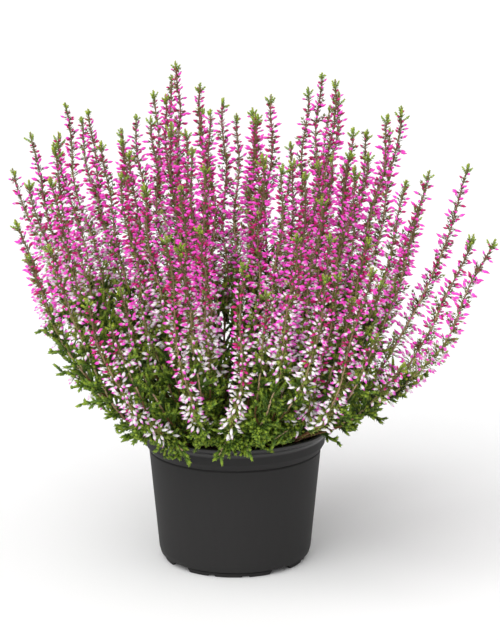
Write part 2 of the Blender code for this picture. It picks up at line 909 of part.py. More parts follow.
def turned(name, profile, collection):
    """A body of revolution from a profile of (radius, height), outer side top to bottom."""
    mesh = bpy.data.meshes.new(name)
    mesh.from_pydata(
        [(r * MM, 0.0, z * MM) for r, z in profile],
        [(k, k + 1) for k in range(len(profile) - 1)],
        [],
    )
    thing = bpy.data.objects.new(name, mesh)
    collection.objects.link(thing)
    screw = thing.modifiers.new("turn", "SCREW")
    screw.steps = POT_SIDES
    screw.render_steps = POT_SIDES
    screw.use_merge_vertices = True
    screw.merge_threshold = 0.00001
    screw.use_smooth_shade = True
    return thing


def cutter(name, bm, collection):
    mesh = bpy.data.meshes.new(name)
    bm.to_mesh(mesh)
    bm.free()
    thing = bpy.data.objects.new(name, mesh)
    thing.hide_render = True
    thing.display_type = "WIRE"
    collection.objects.link(thing)
    return thing


def box_cutter(name, turn, width, height, collection):
    """A box across the foot ring, from below the ground up to the given height."""
    bm = bmesh.new()
    bmesh.ops.create_cube(bm, size=1.0)
    depth = 12.0
    low = -1.0
    for vert in bm.verts:
        vert.co.x = (FOOT_RADIUS - 1.0 + vert.co.x * depth) * MM
        vert.co.y *= width * MM
        vert.co.z = (low + (vert.co.z + 0.5) * (height - low)) * MM
    bm.transform(Matrix.Rotation(math.radians(turn), 4, "Z"))
    return cutter(name, bm, collection)


def rod_cutter(name, x, y, low, high, radius, sides, collection):
    bm = bmesh.new()
    bmesh.ops.create_cone(
        bm,
        cap_ends=True,
        segments=sides,
        radius1=radius * MM,
        radius2=radius * MM,
        depth=(high - low) * MM,
    )
    bmesh.ops.translate(bm, verts=bm.verts, vec=Vector((x, y, (low + high) / 2)) * MM)
    return cutter(name, bm, collection)


def cut_with(thing, cutters):
    cut = thing.modifiers.new("cuts", "BOOLEAN")
    cut.operation = "DIFFERENCE"
    cut.operand_type = "COLLECTION"
    cut.collection = cutters
    cut.solver = "EXACT"


def make_pot(collection):
    ledge = FOOT_HEIGHT
    floor = FOOT_HEIGHT + FLOOR_THICKNESS
    inner_bottom = WALL_BOTTOM_RADIUS - WALL_THICKNESS
    inner_top = WALL_TOP_RADIUS - WALL_THICKNESS
    inner_band = BAND_RADIUS - WALL_THICKNESS
    profile = [
        (0.0, floor),
        (inner_bottom - 0.3, floor),
        (inner_top, WALL_TOP),
        (inner_band, BAND_BOTTOM + 1.0),
        (inner_band + 0.1, LIP_UNDERSIDE - 1.0),
        (LIP_RADIUS - 2.2, LIP_TOP - 0.6),
        (LIP_RADIUS - 1.5, LIP_TOP),
        (LIP_RADIUS - 0.4, LIP_TOP - 0.4),
        (LIP_RADIUS, LIP_TOP - 1.3),
        (LIP_RADIUS - 1.4, LIP_UNDERSIDE + 2.4),
        (BAND_RADIUS + 0.9, LIP_UNDERSIDE + 0.6),
        (BAND_RADIUS, LIP_UNDERSIDE - 1.6),
        (BAND_RADIUS, BAND_BOTTOM),
        (WALL_TOP_RADIUS + 0.4, WALL_TOP + 0.6),
        (WALL_TOP_RADIUS, WALL_TOP - 0.8),
        (WALL_BOTTOM_RADIUS, WALL_BOTTOM),
        (LEDGE_RADIUS + 0.3, ledge + 1.4),
        (LEDGE_RADIUS, ledge),
        (FOOT_RADIUS + 0.2, ledge - 0.2),
        (FOOT_RADIUS, 0.0),
        (FOOT_RADIUS - FOOT_THICKNESS, 0.0),
        (FOOT_RADIUS - FOOT_THICKNESS, ledge),
        (0.0, ledge),
    ]
    pot = turned("pot", profile, collection)
    cutters = make_collection("pot_cutters")
    for gap in range(FOOT_GAPS):
        turn = FOOT_GAP_TURN + 360.0 * gap / FOOT_GAPS
        box_cutter(f"foot_gap_{gap + 1}", turn, FOOT_GAP_WIDTH, ledge - 0.1, cutters)
        for side in (-1, 1):
            middle = turn + 180.0 / FOOT_GAPS + side * FOOT_NICK_TURN
            name = f"foot_nick_{gap + 1}_{'left' if side < 0 else 'right'}"
            box_cutter(name, middle, FOOT_NICK_WIDTH, FOOT_NICK_HEIGHT, cutters)
    for hole in range(DRAIN_HOLES):
        turn = math.tau * (hole + 0.5) / DRAIN_HOLES
        x = DRAIN_CIRCLE_RADIUS * math.cos(turn)
        y = DRAIN_CIRCLE_RADIUS * math.sin(turn)
        rod_cutter(
            f"drain_{hole + 1}", x, y, ledge - 1.0, floor + 1.0, DRAIN_HOLE_RADIUS, 6, cutters
        )
    cut_with(pot, cutters)
    pot.data.materials.append(make_material("dark pot plastic", (0.028, 0.027, 0.027), 0.42))
    return pot


def soil_top(radius):
    """The soil's surface: a low mound that falls off towards the rim."""
    edge = BAND_RADIUS - WALL_THICKNESS - GAP
    if radius <= SOIL_MOUND_RADIUS:
        return SOIL_TOP
    share = (radius - SOIL_MOUND_RADIUS) / (edge - SOIL_MOUND_RADIUS)
    return SOIL_TOP + (SOIL_EDGE_TOP - SOIL_TOP) * share


def make_soil(roots, collection):
    floor = FOOT_HEIGHT + FLOOR_THICKNESS + GAP
    inner_bottom = WALL_BOTTOM_RADIUS - WALL_THICKNESS - 0.3 - GAP
    inner_top = WALL_TOP_RADIUS - WALL_THICKNESS - GAP
    inner_band = BAND_RADIUS - WALL_THICKNESS - GAP
    profile = [
        (0.0, SOIL_TOP),
        (SOIL_MOUND_RADIUS, SOIL_TOP),
        (inner_band, SOIL_EDGE_TOP),
        (inner_band, BAND_BOTTOM + 1.0 + 0.1),
        (inner_top, WALL_TOP + 0.1),
        (inner_bottom, floor),
        (0.0, floor),
    ]
    soil = turned("soil", profile, collection)
    cutters = make_collection("soil_cutters")
    radius = (STEM_RADIUS + GAP) / math.cos(math.pi / HOLE_SIDES)
    for number, root in enumerate(roots):
        rod_cutter(
            f"stem_hole_{number + 1:02d}",
            root.x,
            root.y,
            SOIL_TOP - HOLE_DEPTH,
            SOIL_TOP + 3.0,
            radius,
            HOLE_SIDES,
            cutters,
        )
    cut_with(soil, cutters)
    soil.data.materials.append(make_material("dark soil", (0.035, 0.020, 0.012), 0.95))
    return soil


def grow_shoot(number, stems, root, surroundings):
    """The skin of one root with its stem, and the side stems and sprigs that grow on it."""
    skin = Skin(surroundings)
    main = next(k for k, stem in enumerate(stems) if stem.owner == number and not stem.parent)
    foot = Vector((root.x, root.y, SOIL_TOP - HOLE_DEPTH + GAP))
    collar = Vector((root.x, root.y, soil_top(root.length) + 0.6))
    bottom = skin.ring(foot, UP, Vector((1.0, 0.0, 0.0)), 0.0, STEM_RADIUS)
    skin.face((bottom[2], bottom[1], bottom[0]), "bark")
    first = skin.ring(collar, UP, Vector((1.0, 0.0, 0.0)), math.pi / 3, STEM_RADIUS)
    for corners in skin.stretch(bottom, first):
        skin.face(corners, "bark")
    skin.grow(stems, main, first)
    return skin


def make_shoot(number, skin, root, collection, materials):
    name = f"heather_shoot_{number + 1:02d}"
    mesh = bpy.data.meshes.new(name)
    origin = Vector((root.x, root.y, SOIL_TOP))
    mesh.from_pydata([(point - origin) * MM for point in skin.points], [], skin.faces)
    order = list(materials)
    for material in order:
        mesh.materials.append(materials[material])
    for polygon, material in zip(mesh.polygons, skin.materials):
        polygon.material_index = order.index(material)
    mesh.validate()
    shoot = bpy.data.objects.new(name, mesh)
    shoot.location = origin * MM
    collection.objects.link(shoot)
    return shoot


def main():
    for thing in list(bpy.data.objects):
        bpy.data.objects.remove(thing, do_unlink=True)
    parts = make_collection("potted_heather")
    base = bpy.data.objects.new("pot_axis", None)
    parts.objects.link(base)
    stems, roots = plan_stems()
    things = [make_pot(parts), make_soil(roots, parts)]
    surroundings = Surroundings(stems)
    materials = {
        "bark": make_material("brown bark", (0.150, 0.072, 0.045), 0.80),
        "leaf": make_material("green leaf", (0.075, 0.170, 0.030), 0.65),
        "bud": make_material("magenta bud", (0.550, 0.035, 0.270), 0.55),
        "bud_low": make_material("pale bud", (0.750, 0.480, 0.620), 0.55),
        "tip": make_material("yellow green tip", (0.260, 0.380, 0.050), 0.60),
    }
    skins = [grow_shoot(number, stems, root, surroundings) for number, root in enumerate(roots)]
    lower_crossing_peaks(skins)
    for number, root in enumerate(roots):
        things.append(make_shoot(number, skins[number], root, parts, materials))
    for thing in things:
        thing.parent = base


main()
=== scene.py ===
"""The finished looks of a potted heather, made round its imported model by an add-on's operators."""

import math

import bmesh
import bpy
import numpy as np
from bpy.props import FloatProperty, FloatVectorProperty, IntProperty, PointerProperty
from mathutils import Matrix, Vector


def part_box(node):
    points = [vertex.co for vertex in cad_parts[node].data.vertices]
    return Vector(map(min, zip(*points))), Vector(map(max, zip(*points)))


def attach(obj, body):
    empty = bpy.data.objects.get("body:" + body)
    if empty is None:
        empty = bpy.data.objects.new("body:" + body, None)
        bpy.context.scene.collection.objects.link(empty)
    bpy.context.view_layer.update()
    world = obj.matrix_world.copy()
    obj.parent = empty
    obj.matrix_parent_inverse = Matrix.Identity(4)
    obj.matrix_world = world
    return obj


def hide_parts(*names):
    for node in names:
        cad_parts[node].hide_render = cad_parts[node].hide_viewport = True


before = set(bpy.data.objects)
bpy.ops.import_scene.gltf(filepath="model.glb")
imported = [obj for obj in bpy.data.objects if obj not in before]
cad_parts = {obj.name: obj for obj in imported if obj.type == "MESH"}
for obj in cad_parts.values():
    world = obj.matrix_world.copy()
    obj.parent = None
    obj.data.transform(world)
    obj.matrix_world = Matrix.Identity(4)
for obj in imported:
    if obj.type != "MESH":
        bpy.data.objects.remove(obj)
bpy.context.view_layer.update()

bl_info = {
    "name": "Potted Heather",
    "version": (1, 0, 0),
    "blender": (4, 5, 0),
    "location": "View3D > Sidebar > Heather",
    "description": "Grows buds, leaves and bark on the packed shoots of a potted heather",
    "category": "Add Mesh",
}

MM = 0.001
TAU = math.tau
GOLDEN_TURN = TAU * 0.381966
UP = np.array((0.0, 0.0, 1.0))
SEED = 4505

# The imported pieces, and the sizes that tell a shoot's parts apart
SHOOTS = sorted(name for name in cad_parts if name.startswith("heather_shoot_"))
_, POT_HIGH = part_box("pot")
_, SOIL_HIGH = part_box("soil")
SPRIG_RADIUS = 1.05 * MM
FLOWERING_RADIUS = 1.23 * MM
PATH_STEPS = 6

# Where the bush is read as its outside and its far right, and how tall its stems are, by their tips
OUTSIDE_START = 35 * MM
OUTSIDE_WIDTH = 60 * MM
FAR_RIGHT_START = 70 * MM
FAR_RIGHT_WIDTH = 50 * MM
TIP_HEIGHTS = (140 * MM, 220 * MM)

# The heights over which buds go from white to magenta
RIPENING_HEIGHTS = (138 * MM, 250 * MM)

# The shoots that flower right down to the rim, by number: as the photograph shows, and some behind
LOW_FLOWERING = (12, 15, 18, 24, 26, 42, 45, 49, 51, 53)

# The shoots whose leafy sprigs bear a few flowers, by number, and the share of a sprig below them
FLOWERING_SPRIGS = (7, 34)
SPRIG_FLOWERS = 0.35

# How high flowers begin, in millimetres: on those shoots, and on the others from left to right
LOW_STARTS = (91, 105)
FLOWER_STARTS = ((-95, -50, 45, 72, 105, 130), (156, 142, 132, 160, 140, 118))
START_FREEDOM = (-8, 14)
START_RISE_INSIDE = 30
SHORTEST_FLOWERS = 36 * MM

# What changes up the flowering part of a stem: shares of its length, and the values there
CLUSTER_BUDS = ((0.0, 0.1, 0.3, 0.6, 0.85, 1.0), (1.1, 1.9, 2.5, 2.4, 1.7, 0.9))
YOUNG_BUDS = ((0.3, 0.6, 0.86, 1.0), (0.0, 0.3, 0.42, 0.65))
BUDS_LOWEST_RISE = ((0, 1), (-26, 4))
BUDS_HIGHEST_RISE = ((0, 1), (34, 46))
BRACT_TONES = ((0.0, 0.5, 1.0), (1.0, 0.7, 0.35))
CLUSTER_TONES = ((0.0, 0.5, 1.0), (0.9, 0.6, 0.42))
LEAFY_SHOOTS = ((0.0, 0.5, 0.9), (0.95, 0.7, 0.15))

# The three leaves under each cluster: how far up the stem, how far round it, and their scale
CLUSTER_LEAVES = ((-0.9 * MM, -0.5, 1.0), (0.4 * MM, 0.5, 0.9), (1.4 * MM, 0.0, 0.8))

# Stems: steps, sides, and how old the bark is at their marks, from 0 at the soil to 1 at the tip;
# the lowest ages, near the soil, get painted shade
STEM_STEP = 7.0 * MM
STEM_SIDES = 5
SPRIG_TIP_RADIUS = 0.35 * MM
# The thick foot of a stem, over which the painted shade on its bark near the soil fades out
SHADED_FOOT_LENGTH = 45 * MM
SPRIG_AGES = (0.15, 0.75)
ROOTED_AGES = (0.0, 0.08, 0.32, 1.0)
FORK_AGES = (0.08, 0.16, 0.32, 1.0)

# Buds, leaves and tufts: how far apart buds sit round a stem, leaves in a ring, and odd tufts
BUD_TURN = 0.52
BUD_FREEDOM = 0.16
BUD_BASE = 0.5 * MM
WHORL = 3
WHORL_STEP = TAU / WHORL
LEAF_FLATNESS = 0.6
STALK_WIDTH = 0.8 * MM
NECK_LENGTH = 9 * MM
NECK_SPACING = 1.3 * MM
TUFT_SPACING = 1.1 * MM
ODD_TUFTS = 0.12
SHORT_TUFT = 0.65
LONG_TUFT = 1.6

# The pot's profile
LIP_RADIUS = POT_HIGH.x
LIP_TOP = POT_HIGH.z
LIP_UNDERSIDE = 80.0 * MM
LIP_MARGIN = 2 * MM
BAND_RADIUS = 55.2 * MM
BAND_BOTTOM = 74.0 * MM
WALL_TOP_RADIUS = 52.7 * MM
WALL_TOP = 69.8 * MM
WALL_BOTTOM_RADIUS = 46.9 * MM
WALL_BOTTOM = 7.0 * MM
WALL_THICKNESS = 1.5 * MM
LEDGE_RADIUS = 45.8 * MM
LEDGE = 3.1 * MM
FLOOR_THICKNESS = 1.4 * MM
FOOT_RADIUS = 43.6 * MM
FOOT_THICKNESS = 2.2 * MM
GROOVE = 0.9 * MM
CORNER_STEPS = 3
SHARP_ANGLE = math.radians(38)

# How close plant parts may come to the pot and the soil
POT_ROOM = 1.0 * MM
INSIDE_RADIUS = BAND_RADIUS - 3.5 * MM

# Where the foot ring is cut away, and the holes in the floor
FOOT_GAPS = 4
FOOT_GAP_WIDTH = 14.5 * MM
FOOT_GAP_TURN = math.radians(40.0)
FOOT_GAP_SLOPE = 2.4 * MM
FOOT_NICK_WIDTH = 4.2 * MM
FOOT_NICK_HEIGHT = 1.0 * MM
FOOT_NICK_SLOPE = 0.8 * MM
FOOT_NICK_TURN = math.radians(13.7)
DRAIN_HOLES = 6
DRAIN_RADIUS = 3.5 * MM
DRAIN_CIRCLE = 31.0 * MM
DRAIN_SEGMENTS = 40
DRAIN_DEPTH = 6 * MM

# The soil's surface
SOIL_WAVES = 28
SOIL_RINGS = 36
SOIL_SEGMENTS = 108
SOIL_FLAT = 34 * MM
SOIL_FALL = 1.6 * MM
SOIL_GRAIN = 0.16 * MM

# The floor of the stage
FLOOR_HALF = 20.0
FLOOR_CORNERS = ((-1, -1), (1, -1), (1, 1), (-1, 1))

# Where the photograph shows soil and rim free of leaves, as a strip of the soil seen from the front
OPEN_SOIL_LEFT = 32.0 * MM
OPEN_SOIL_RIGHT = 55.0 * MM
OPEN_SOIL_BACK = -102.0 * MM
OPEN_SOIL_SLANT = 2.65

# Leafy twigs: the shares of a twig that must be clear, and sizes of the upright and short kinds
CLEAR_SHARES = (0.45, 0.75, 1.0)
UPRIGHT_SPACING = 5.0 * MM
UPRIGHT_SCALE = 1.35
SHORT_CORE = 0.9 * MM
SHORT_LEAF_SPACING = 1.7 * MM

# Where twigs start above the soil, how far they reach among the flowers, and the tip kept bare
TWIGS_START = 2 * MM
TWIGS_OVERLAP = 10 * MM
UPRIGHT_OVERLAP = 12 * MM
TWIGS_BARE_TIP = 30 * MM

# Painted light and shade on leafy twigs: how far out they reach their full painted light, and where
# painted shade darkens them again towards the right
PAINTED_LIGHT_RADIUS = 80 * MM
PAINTED_SHADE_RIGHT_START = 35 * MM
PAINTED_SHADE_RIGHT_WIDTH = 40 * MM

# Twigs on a leafy sprig: where they start, their spacing, and their lengths in millimetres
SPRIG_START = 3 * MM
SPRIG_SPACING = 2 * MM
SPRIG_TWIGS = (8, 14)

# The part of the front rim that leafy twigs hang over, and how high on the stems they start
RIM_TWIGS = 9
RIM_TWIGS_LEFT = -56.0 * MM
RIM_TWIGS_RIGHT = 30.0 * MM
RIM_TWIGS_FRONT = -44.0 * MM
RIM_TWIGS_LOW = 89.0 * MM
RIM_TWIGS_HIGH = 101.0 * MM

# The colour map that all plant pieces share: buds left, leaves in the middle, bark right
MAP_NAME = "OFBake"
BUD_COLUMNS = 24
BUD_ROWS = 4
YOUNG_ROW = 3
BUDS_END = 0.5
LEAVES_END = 0.75
LEAF_ROWS = 2
CALYX_ROW = 1
CELL_MARGIN = 0.03
TONE_WIDTH = 0.012
BARK_MARGIN = 0.01
CAP_HEIGHT = 0.005

# The finishes in each shoot's mesh
BUD, LEAF, BARK = range(3)

# The photograph's view, fitted to the pot's ellipses and to the bush
VIEW_TARGET = np.array((9.2, 0.0, 149.4)) * MM
VIEW_DISTANCE = 1400.0 * MM
VIEW_RISE = math.radians(13.97)
VIEW_LENS = 129.94
VIEW_SLOPE = math.tan(VIEW_RISE)
SENSOR_WIDTH = 36.0


def linear(red, green, blue):
    """The scene-linear values of a screen colour given from 0 to 255."""
    shares = (red / 255, green / 255, blue / 255)
    return tuple(c / 12.92 if c < 0.04 else ((c + 0.055) / 1.055) ** 2.4 for c in shares)


def size_property(name, description, millimetres):
    """A length that a user may change, held in metres."""
    return FloatProperty(
        name=name,
        description=description,
        default=millimetres * MM,
        min=0.01 * MM,
        max=1000 * MM,
        precision=5,
        subtype="DISTANCE",
        unit="LENGTH",
    )


def share_property(name, description, value):
    """A number from 0 to 1 that a user may change."""
    return FloatProperty(
        name=name, description=description, default=value, min=0.0, max=1.0, subtype="FACTOR"
    )


def strength_property(name, description, value):
    """A light's strength that a user may change."""
    return FloatProperty(name=name, description=description, default=value, min=0.0, max=100.0)


def colour_property(name, description, red, green, blue):
    """A colour that a user may change, given as a screen colour from 0 to 255."""
    return FloatVectorProperty(
        name=name,
        description=description,
        default=linear(red, green, blue),
        min=0.0,
        max=1.0,
        size=3,
        subtype="COLOR",
    )


class HeatherFlowers(bpy.types.PropertyGroup):
    """What can be changed about the flowers"""

    bud_length: size_property("Bud length", "Length of a bud low on a flowering stem", 4.8)
    bud_width: size_property("Bud width", "Widest part of such a bud", 2.0)
    top_buds: share_property("Top buds", "Size of the upper buds beside the lowest ones", 0.86)
    spacing_low: size_property("Spacing below", "Between pairs of clusters, low on a stem", 3.4)
    spacing_high: size_property("Spacing above", "Between pairs of clusters, near the tip", 3.8)
    stalk_low: size_property("Stalk below", "From a stem's middle to its lowest buds", 3.4)
    stalk_high: size_property("Stalk above", "From a stem's middle to its topmost buds", 2.3)
    bract: size_property("Bract length", "Length of the small leaf under a bud", 2.5)
    stem_leaf: size_property("Stem leaf", "Length of the leaves between the buds", 2.9)
    shoot: size_property("Leafy shoot", "Mean length of the leafy shoots between the buds", 7.0)
    pale: colour_property("Pale", "Base of the lower buds", 252, 248, 250)
    blush: colour_property("Blush", "Tips of the lower buds", 222, 90, 206)
    pink: colour_property("Pink", "Base of the upper buds", 250, 164, 240)
    magenta: colour_property("Magenta", "Tips of the upper buds", 255, 72, 210)
    crimson: colour_property("Crimson", "Young buds near the tips", 190, 24, 104)
    calyx: colour_property("Calyx", "Small leaves among the upper flowers", 94, 90, 42)
    calyx_low: colour_property("Lower calyx", "Small leaves among the pale flowers", 166, 184, 84)


class HeatherLeaves(bpy.types.PropertyGroup):
    """What can be changed about the leaves and leafy twigs"""

    length: size_property("Leaf length", "Length of one scale leaf", 1.6)
    width: size_property("Leaf width", "Width of one scale leaf", 1.25)
    whorl_spacing: size_property("Whorl spacing", "Distance between rings of leaves", 1.5)
    core: size_property("Core", "Thickness of the green middle of a leafy twig", 1.8)
    twig_spacing: size_property("Twig spacing", "Between leafy twigs on a stem", 4.6)
    twig_length: size_property("Twig length", "Mean length of a low leafy twig", 15.0)
    finger_spacing: size_property("Finger spacing", "Between the side twigs of a twig", 2.5)
    finger_length: size_property("Finger length", "Mean length of a side twig", 6.5)
    tuft_length: size_property("Tuft length", "Leafy end of a flowering stem", 6.8)
    shade: colour_property("Shade green", "Leaves deep in the bush", 22, 31, 6)
    green: colour_property("Green", "Most leaves", 76, 112, 28)
    fresh: colour_property("Fresh green", "Leaves at the ends of twigs", 134, 168, 62)
    tip: colour_property("Tip green", "Leaves at the tips of flowering stems", 190, 206, 56)


class HeatherStems(bpy.types.PropertyGroup):
    """What can be changed about the stems"""

    foot_radius: size_property("Foot radius", "Radius of a stem at the soil", 0.75)
    flower_radius: size_property("Flower radius", "Radius where a stem's flowers begin", 0.62)
    tip_radius: size_property("Tip radius", "Radius just under the tuft", 0.38)
    wood: colour_property("Wood", "Bark near the soil", 110, 72, 48)
    bark: colour_property("Bark", "Bark among the pale flowers", 200, 166, 140)
    young: colour_property("Young bark", "Bark near the tips", 132, 106, 88)


class HeatherPot(bpy.types.PropertyGroup):
    """What can be changed about the pot"""

    segments: IntProperty(
        name="Segments", description="Steps round the pot's wall", default=192, min=32, max=1024
    )
    plastic: colour_property("Plastic", "Colour of the pot", 31, 30, 30)
    roughness: share_property("Roughness", "Mean roughness of the plastic", 0.66)


class HeatherSoil(bpy.types.PropertyGroup):
    """What can be changed about the soil"""

    crumb: size_property("Crumb size", "Mean size of a loose crumb", 1.9)
    crumbs: IntProperty(
        name="Crumbs", description="Loose crumbs on the soil", default=900, min=0, max=5000
    )
    peat: colour_property("Peat", "Mean colour of the soil", 62, 44, 35)
    dark_peat: colour_property("Dark peat", "Soil between the crumbs", 26, 18, 14)


class HeatherStage(bpy.types.PropertyGroup):
    """What can be changed about the floor and the light"""

    floor: colour_property("Floor", "Colour of the plain floor", 250, 250, 250)
    surroundings: strength_property("Surroundings", "Even white light from all round", 0.5)
    key: strength_property("Key light", "Soft light from the upper left", 2.7)
    fill: strength_property("Fill light", "Soft light from the right", 0.5)


GROUPS = {
    "heather_flowers": HeatherFlowers,
    "heather_leaves": HeatherLeaves,
    "heather_stems": HeatherStems,
    "heather_pot": HeatherPot,
    "heather_soil": HeatherSoil,
    "heather_stage": HeatherStage,
}


class Socket:
    """An output socket in plain expressions: arithmetic on it adds Math nodes."""

    def __init__(self, nodes, socket):
        self.nodes = nodes
        self.socket = socket

    def math(self, operation, *values):
        """The result of a Math node on these values."""
        settings = {"operation": operation}
        return self.nodes.add("ShaderNodeMath", settings, dict(enumerate(values)))

    def __add__(self, other):
        return self.math("ADD", self, other)

    def __sub__(self, other):
        return self.math("SUBTRACT", self, other)

    def __rsub__(self, other):
        return self.math("SUBTRACT", other, self)

    def __mul__(self, other):
        return self.math("MULTIPLY", self, other)

    def __truediv__(self, other):
        return self.math("DIVIDE", self, other)

    __radd__ = __add__
    __rmul__ = __mul__

    def floor(self):
        return self.math("FLOOR", self)

    def fraction(self):
        return self.math("FRACT", self)

    def cosine(self):
        return self.math("COSINE", self)

    def rise(self, low, high):
        """0 up to low and 1 from high, smooth between them."""
        sockets = {"Value": self, "From Min": low, "From Max": high}
        return self.nodes.add("ShaderNodeMapRange", {"interpolation_type": "SMOOTHSTEP"}, sockets)


class Nodes:
    """The nodes of one material. Each of them comes from the method add."""

    def __init__(self, name):
        self.material = bpy.data.materials.new(name)
        self.material.use_nodes = True
        self.tree = self.material.node_tree
        self.tree.nodes.clear()

    def add(self, kind, settings, sockets, output=0):
        """A node of that kind: its settings first, then the values and links of its sockets."""
        node = self.tree.nodes.new(kind)
        for name, value in settings.items():
            setattr(node, name, value)
        for place, value in sockets.items():
            if isinstance(value, Socket):
                self.tree.links.new(value.socket, node.inputs[place])
            else:
                node.inputs[place].default_value = value
        return Socket(self, node.outputs[output]) if node.outputs else None

    def mix(self, share, first, second):
        """A colour between two colours, each a socket or red, green and blue."""
        pair = [c if isinstance(c, Socket) else (*c, 1.0) for c in (first, second)]
        sockets = {0: share, 6: pair[0], 7: pair[1]}
        return self.add("ShaderNodeMix", {"data_type": "RGBA"}, sockets, 2)

    def noise(self, point, scale, detail=3.0):
        """Noise about 0.5 at a point."""
        sockets = {"Vector": point, "Scale": scale, "Detail": detail}
        return self.add("ShaderNodeTexNoise", {}, sockets)

    def place(self):
        """The point of the surface in metres."""
        return self.add("ShaderNodeTexCoord", {}, {}, "Object")

    def stretched(self, point, x, y, z):
        """A point with its three coordinates multiplied."""
        return self.add("ShaderNodeVectorMath", {"operation": "MULTIPLY"}, {0: point, 1: (x, y, z)})

    def part(self, point, number):
        """One coordinate of a point."""
        return self.add("ShaderNodeSeparateXYZ", {}, {0: point}, number)

    def map_place(self):
        """The place on the colour map: across, up, and both as a vector."""
        point = self.add("ShaderNodeUVMap", {"uv_map": MAP_NAME}, {})
        return self.part(point, 0), self.part(point, 1), point

    def bump(self, height, distance):
        """A surface direction from a height that varies from 0 to 1."""
        return self.add("ShaderNodeBump", {}, {"Height": height, "Distance": distance})

    def finish(self, sockets):
        """The material, once its surface shader has its values and links."""
        surface = self.add("ShaderNodeBsdfPrincipled", {}, sockets)
        self.add("ShaderNodeOutputMaterial", {}, {"Surface": surface})
        return self.material


def bud_material(flowers):
    """Closed buds: pale with blushing tips low on a stem, magenta high up, crimson when young."""
    nodes = Nodes("heather_bud")
    across, up, _ = nodes.map_place()
    cell = across * (BUD_COLUMNS / BUDS_END)
    paleness = (cell.floor() + 0.5) / BUD_COLUMNS
    level = up * BUD_ROWS
    row = level.floor()
    along = level.fraction()
    petal_edge = (cell.fraction() * (3 * TAU)).cosine().rise(0.4, 1.0)
    base = nodes.mix(paleness.rise(0.0, 0.32), flowers.pink, flowers.pale)
    tip = nodes.mix(paleness.rise(0.1, 0.9), flowers.magenta, flowers.blush)
    border = paleness * 0.6 + 0.16 + row * 0.05
    coloured = along.rise(border - 0.2, border + 0.2)
    coloured = coloured * (1.0 - paleness.rise(0.7, 1.0) * 0.55)
    colour = nodes.mix(coloured, base, tip)
    colour = nodes.mix(petal_edge * coloured * 0.2, colour, flowers.crimson)
    dark_tip = along.rise(0.66, 0.9) * (1.0 - paleness.rise(0.3, 0.9)) * 0.35
    colour = nodes.mix(dark_tip, colour, flowers.crimson)
    young = row.rise(YOUNG_ROW - 0.6, YOUNG_ROW - 0.4)
    young_colour = nodes.mix(along.rise(0.45, 1.0) * 0.35, flowers.crimson, flowers.magenta)
    colour = nodes.mix(young, colour, young_colour)
    return nodes.finish({"Base Color": colour, "Roughness": 0.5, "Specular IOR Level": 0.35})


def leaf_material(leaves, flowers):
    """Scale leaves from painted shade to yellow green, and the olive leaves that hold the flowers.
    """
    nodes = Nodes("heather_leaf")
    across, up, _ = nodes.map_place()
    tone = (across - BUDS_END) / (LEAVES_END - BUDS_END)
    level = up * LEAF_ROWS
    along = level.fraction()
    colour = nodes.mix(tone.rise(0.0, 0.4), leaves.shade, leaves.green)
    colour = nodes.mix(tone.rise(0.4, 0.75), colour, leaves.fresh)
    colour = nodes.mix(tone.rise(0.75, 1.0), colour, leaves.tip)
    # Painted light and shade on each leaf: a painted highlight towards its tip and painted shade at
    # its base
    colour = nodes.mix(along.rise(0.4, 1.0) * 0.4, colour, leaves.tip)
    colour = nodes.mix((1.0 - along.rise(0.05, 0.6)) * 0.7, colour, leaves.shade)
    calyx = nodes.mix(tone.rise(0.0, 0.35), flowers.crimson, flowers.calyx)
    calyx = nodes.mix(tone.rise(0.4, 1.0), calyx, flowers.calyx_low)
    colour = nodes.mix(level.rise(CALYX_ROW - 0.001, CALYX_ROW + 0.001), colour, calyx)
    return nodes.finish({"Base Color": colour, "Roughness": 0.55, "Specular IOR Level": 0.3})


def bark_material(stems):
    """Bark: painted shade near the soil, brown wood above it, mauve tan among the flowers, dark near
    the tips.
    """
    nodes = Nodes("heather_bark")
    _, up, point = nodes.map_place()
    # Painted shade: the wood darkened to about a third near the soil
    shaded = tuple(c * 0.35 for c in stems.wood)
    colour = nodes.mix(up.rise(0.06, 0.14), shaded, stems.wood)
    colour = nodes.mix(up.rise(0.22, 0.42), colour, stems.bark)
    colour = nodes.mix(up.rise(0.55, 0.9), colour, stems.young)
    streaks = nodes.noise(nodes.stretched(point, 90.0, 14.0, 1.0), 1.0).rise(0.42, 0.62)
    colour = nodes.mix(streaks * 0.4, colour, stems.wood)
    return nodes.finish({"Base Color": colour, "Roughness": 0.75, "Specular IOR Level": 0.2})


def pot_material(pot):
    """Matt charcoal plastic with the faint mottling and fine grain of a moulded pot."""
    nodes = Nodes("charcoal_plastic")
    point = nodes.place()
    mottling = nodes.noise(point, 38.0)
    grain = nodes.noise(point, 2600.0, 2.0)
    drag = nodes.noise(nodes.stretched(point, 1.0, 1.0, 0.12), 420.0, 2.0)
    dark = tuple(c * 0.8 for c in pot.plastic)
    light = tuple(c * 1.25 for c in pot.plastic)
    colour = nodes.mix(mottling * 0.6 + drag * 0.4, dark, light)
    lip = nodes.part(point, 2).rise(LIP_UNDERSIDE - LIP_MARGIN, LIP_UNDERSIDE)
    roughness = pot.roughness - 0.08 + mottling * 0.1 + grain * 0.08 - lip * 0.15
    bump = nodes.bump(grain * 0.7 + drag * 0.3, 0.06 * MM)
    return nodes.finish(
        {
            "Base Color": colour,
            "Roughness": roughness,
            "Specular IOR Level": 0.3,
            "Coat Weight": lip * 0.4,
            "Coat Roughness": 0.14,
            "Normal": bump,
        }
    )


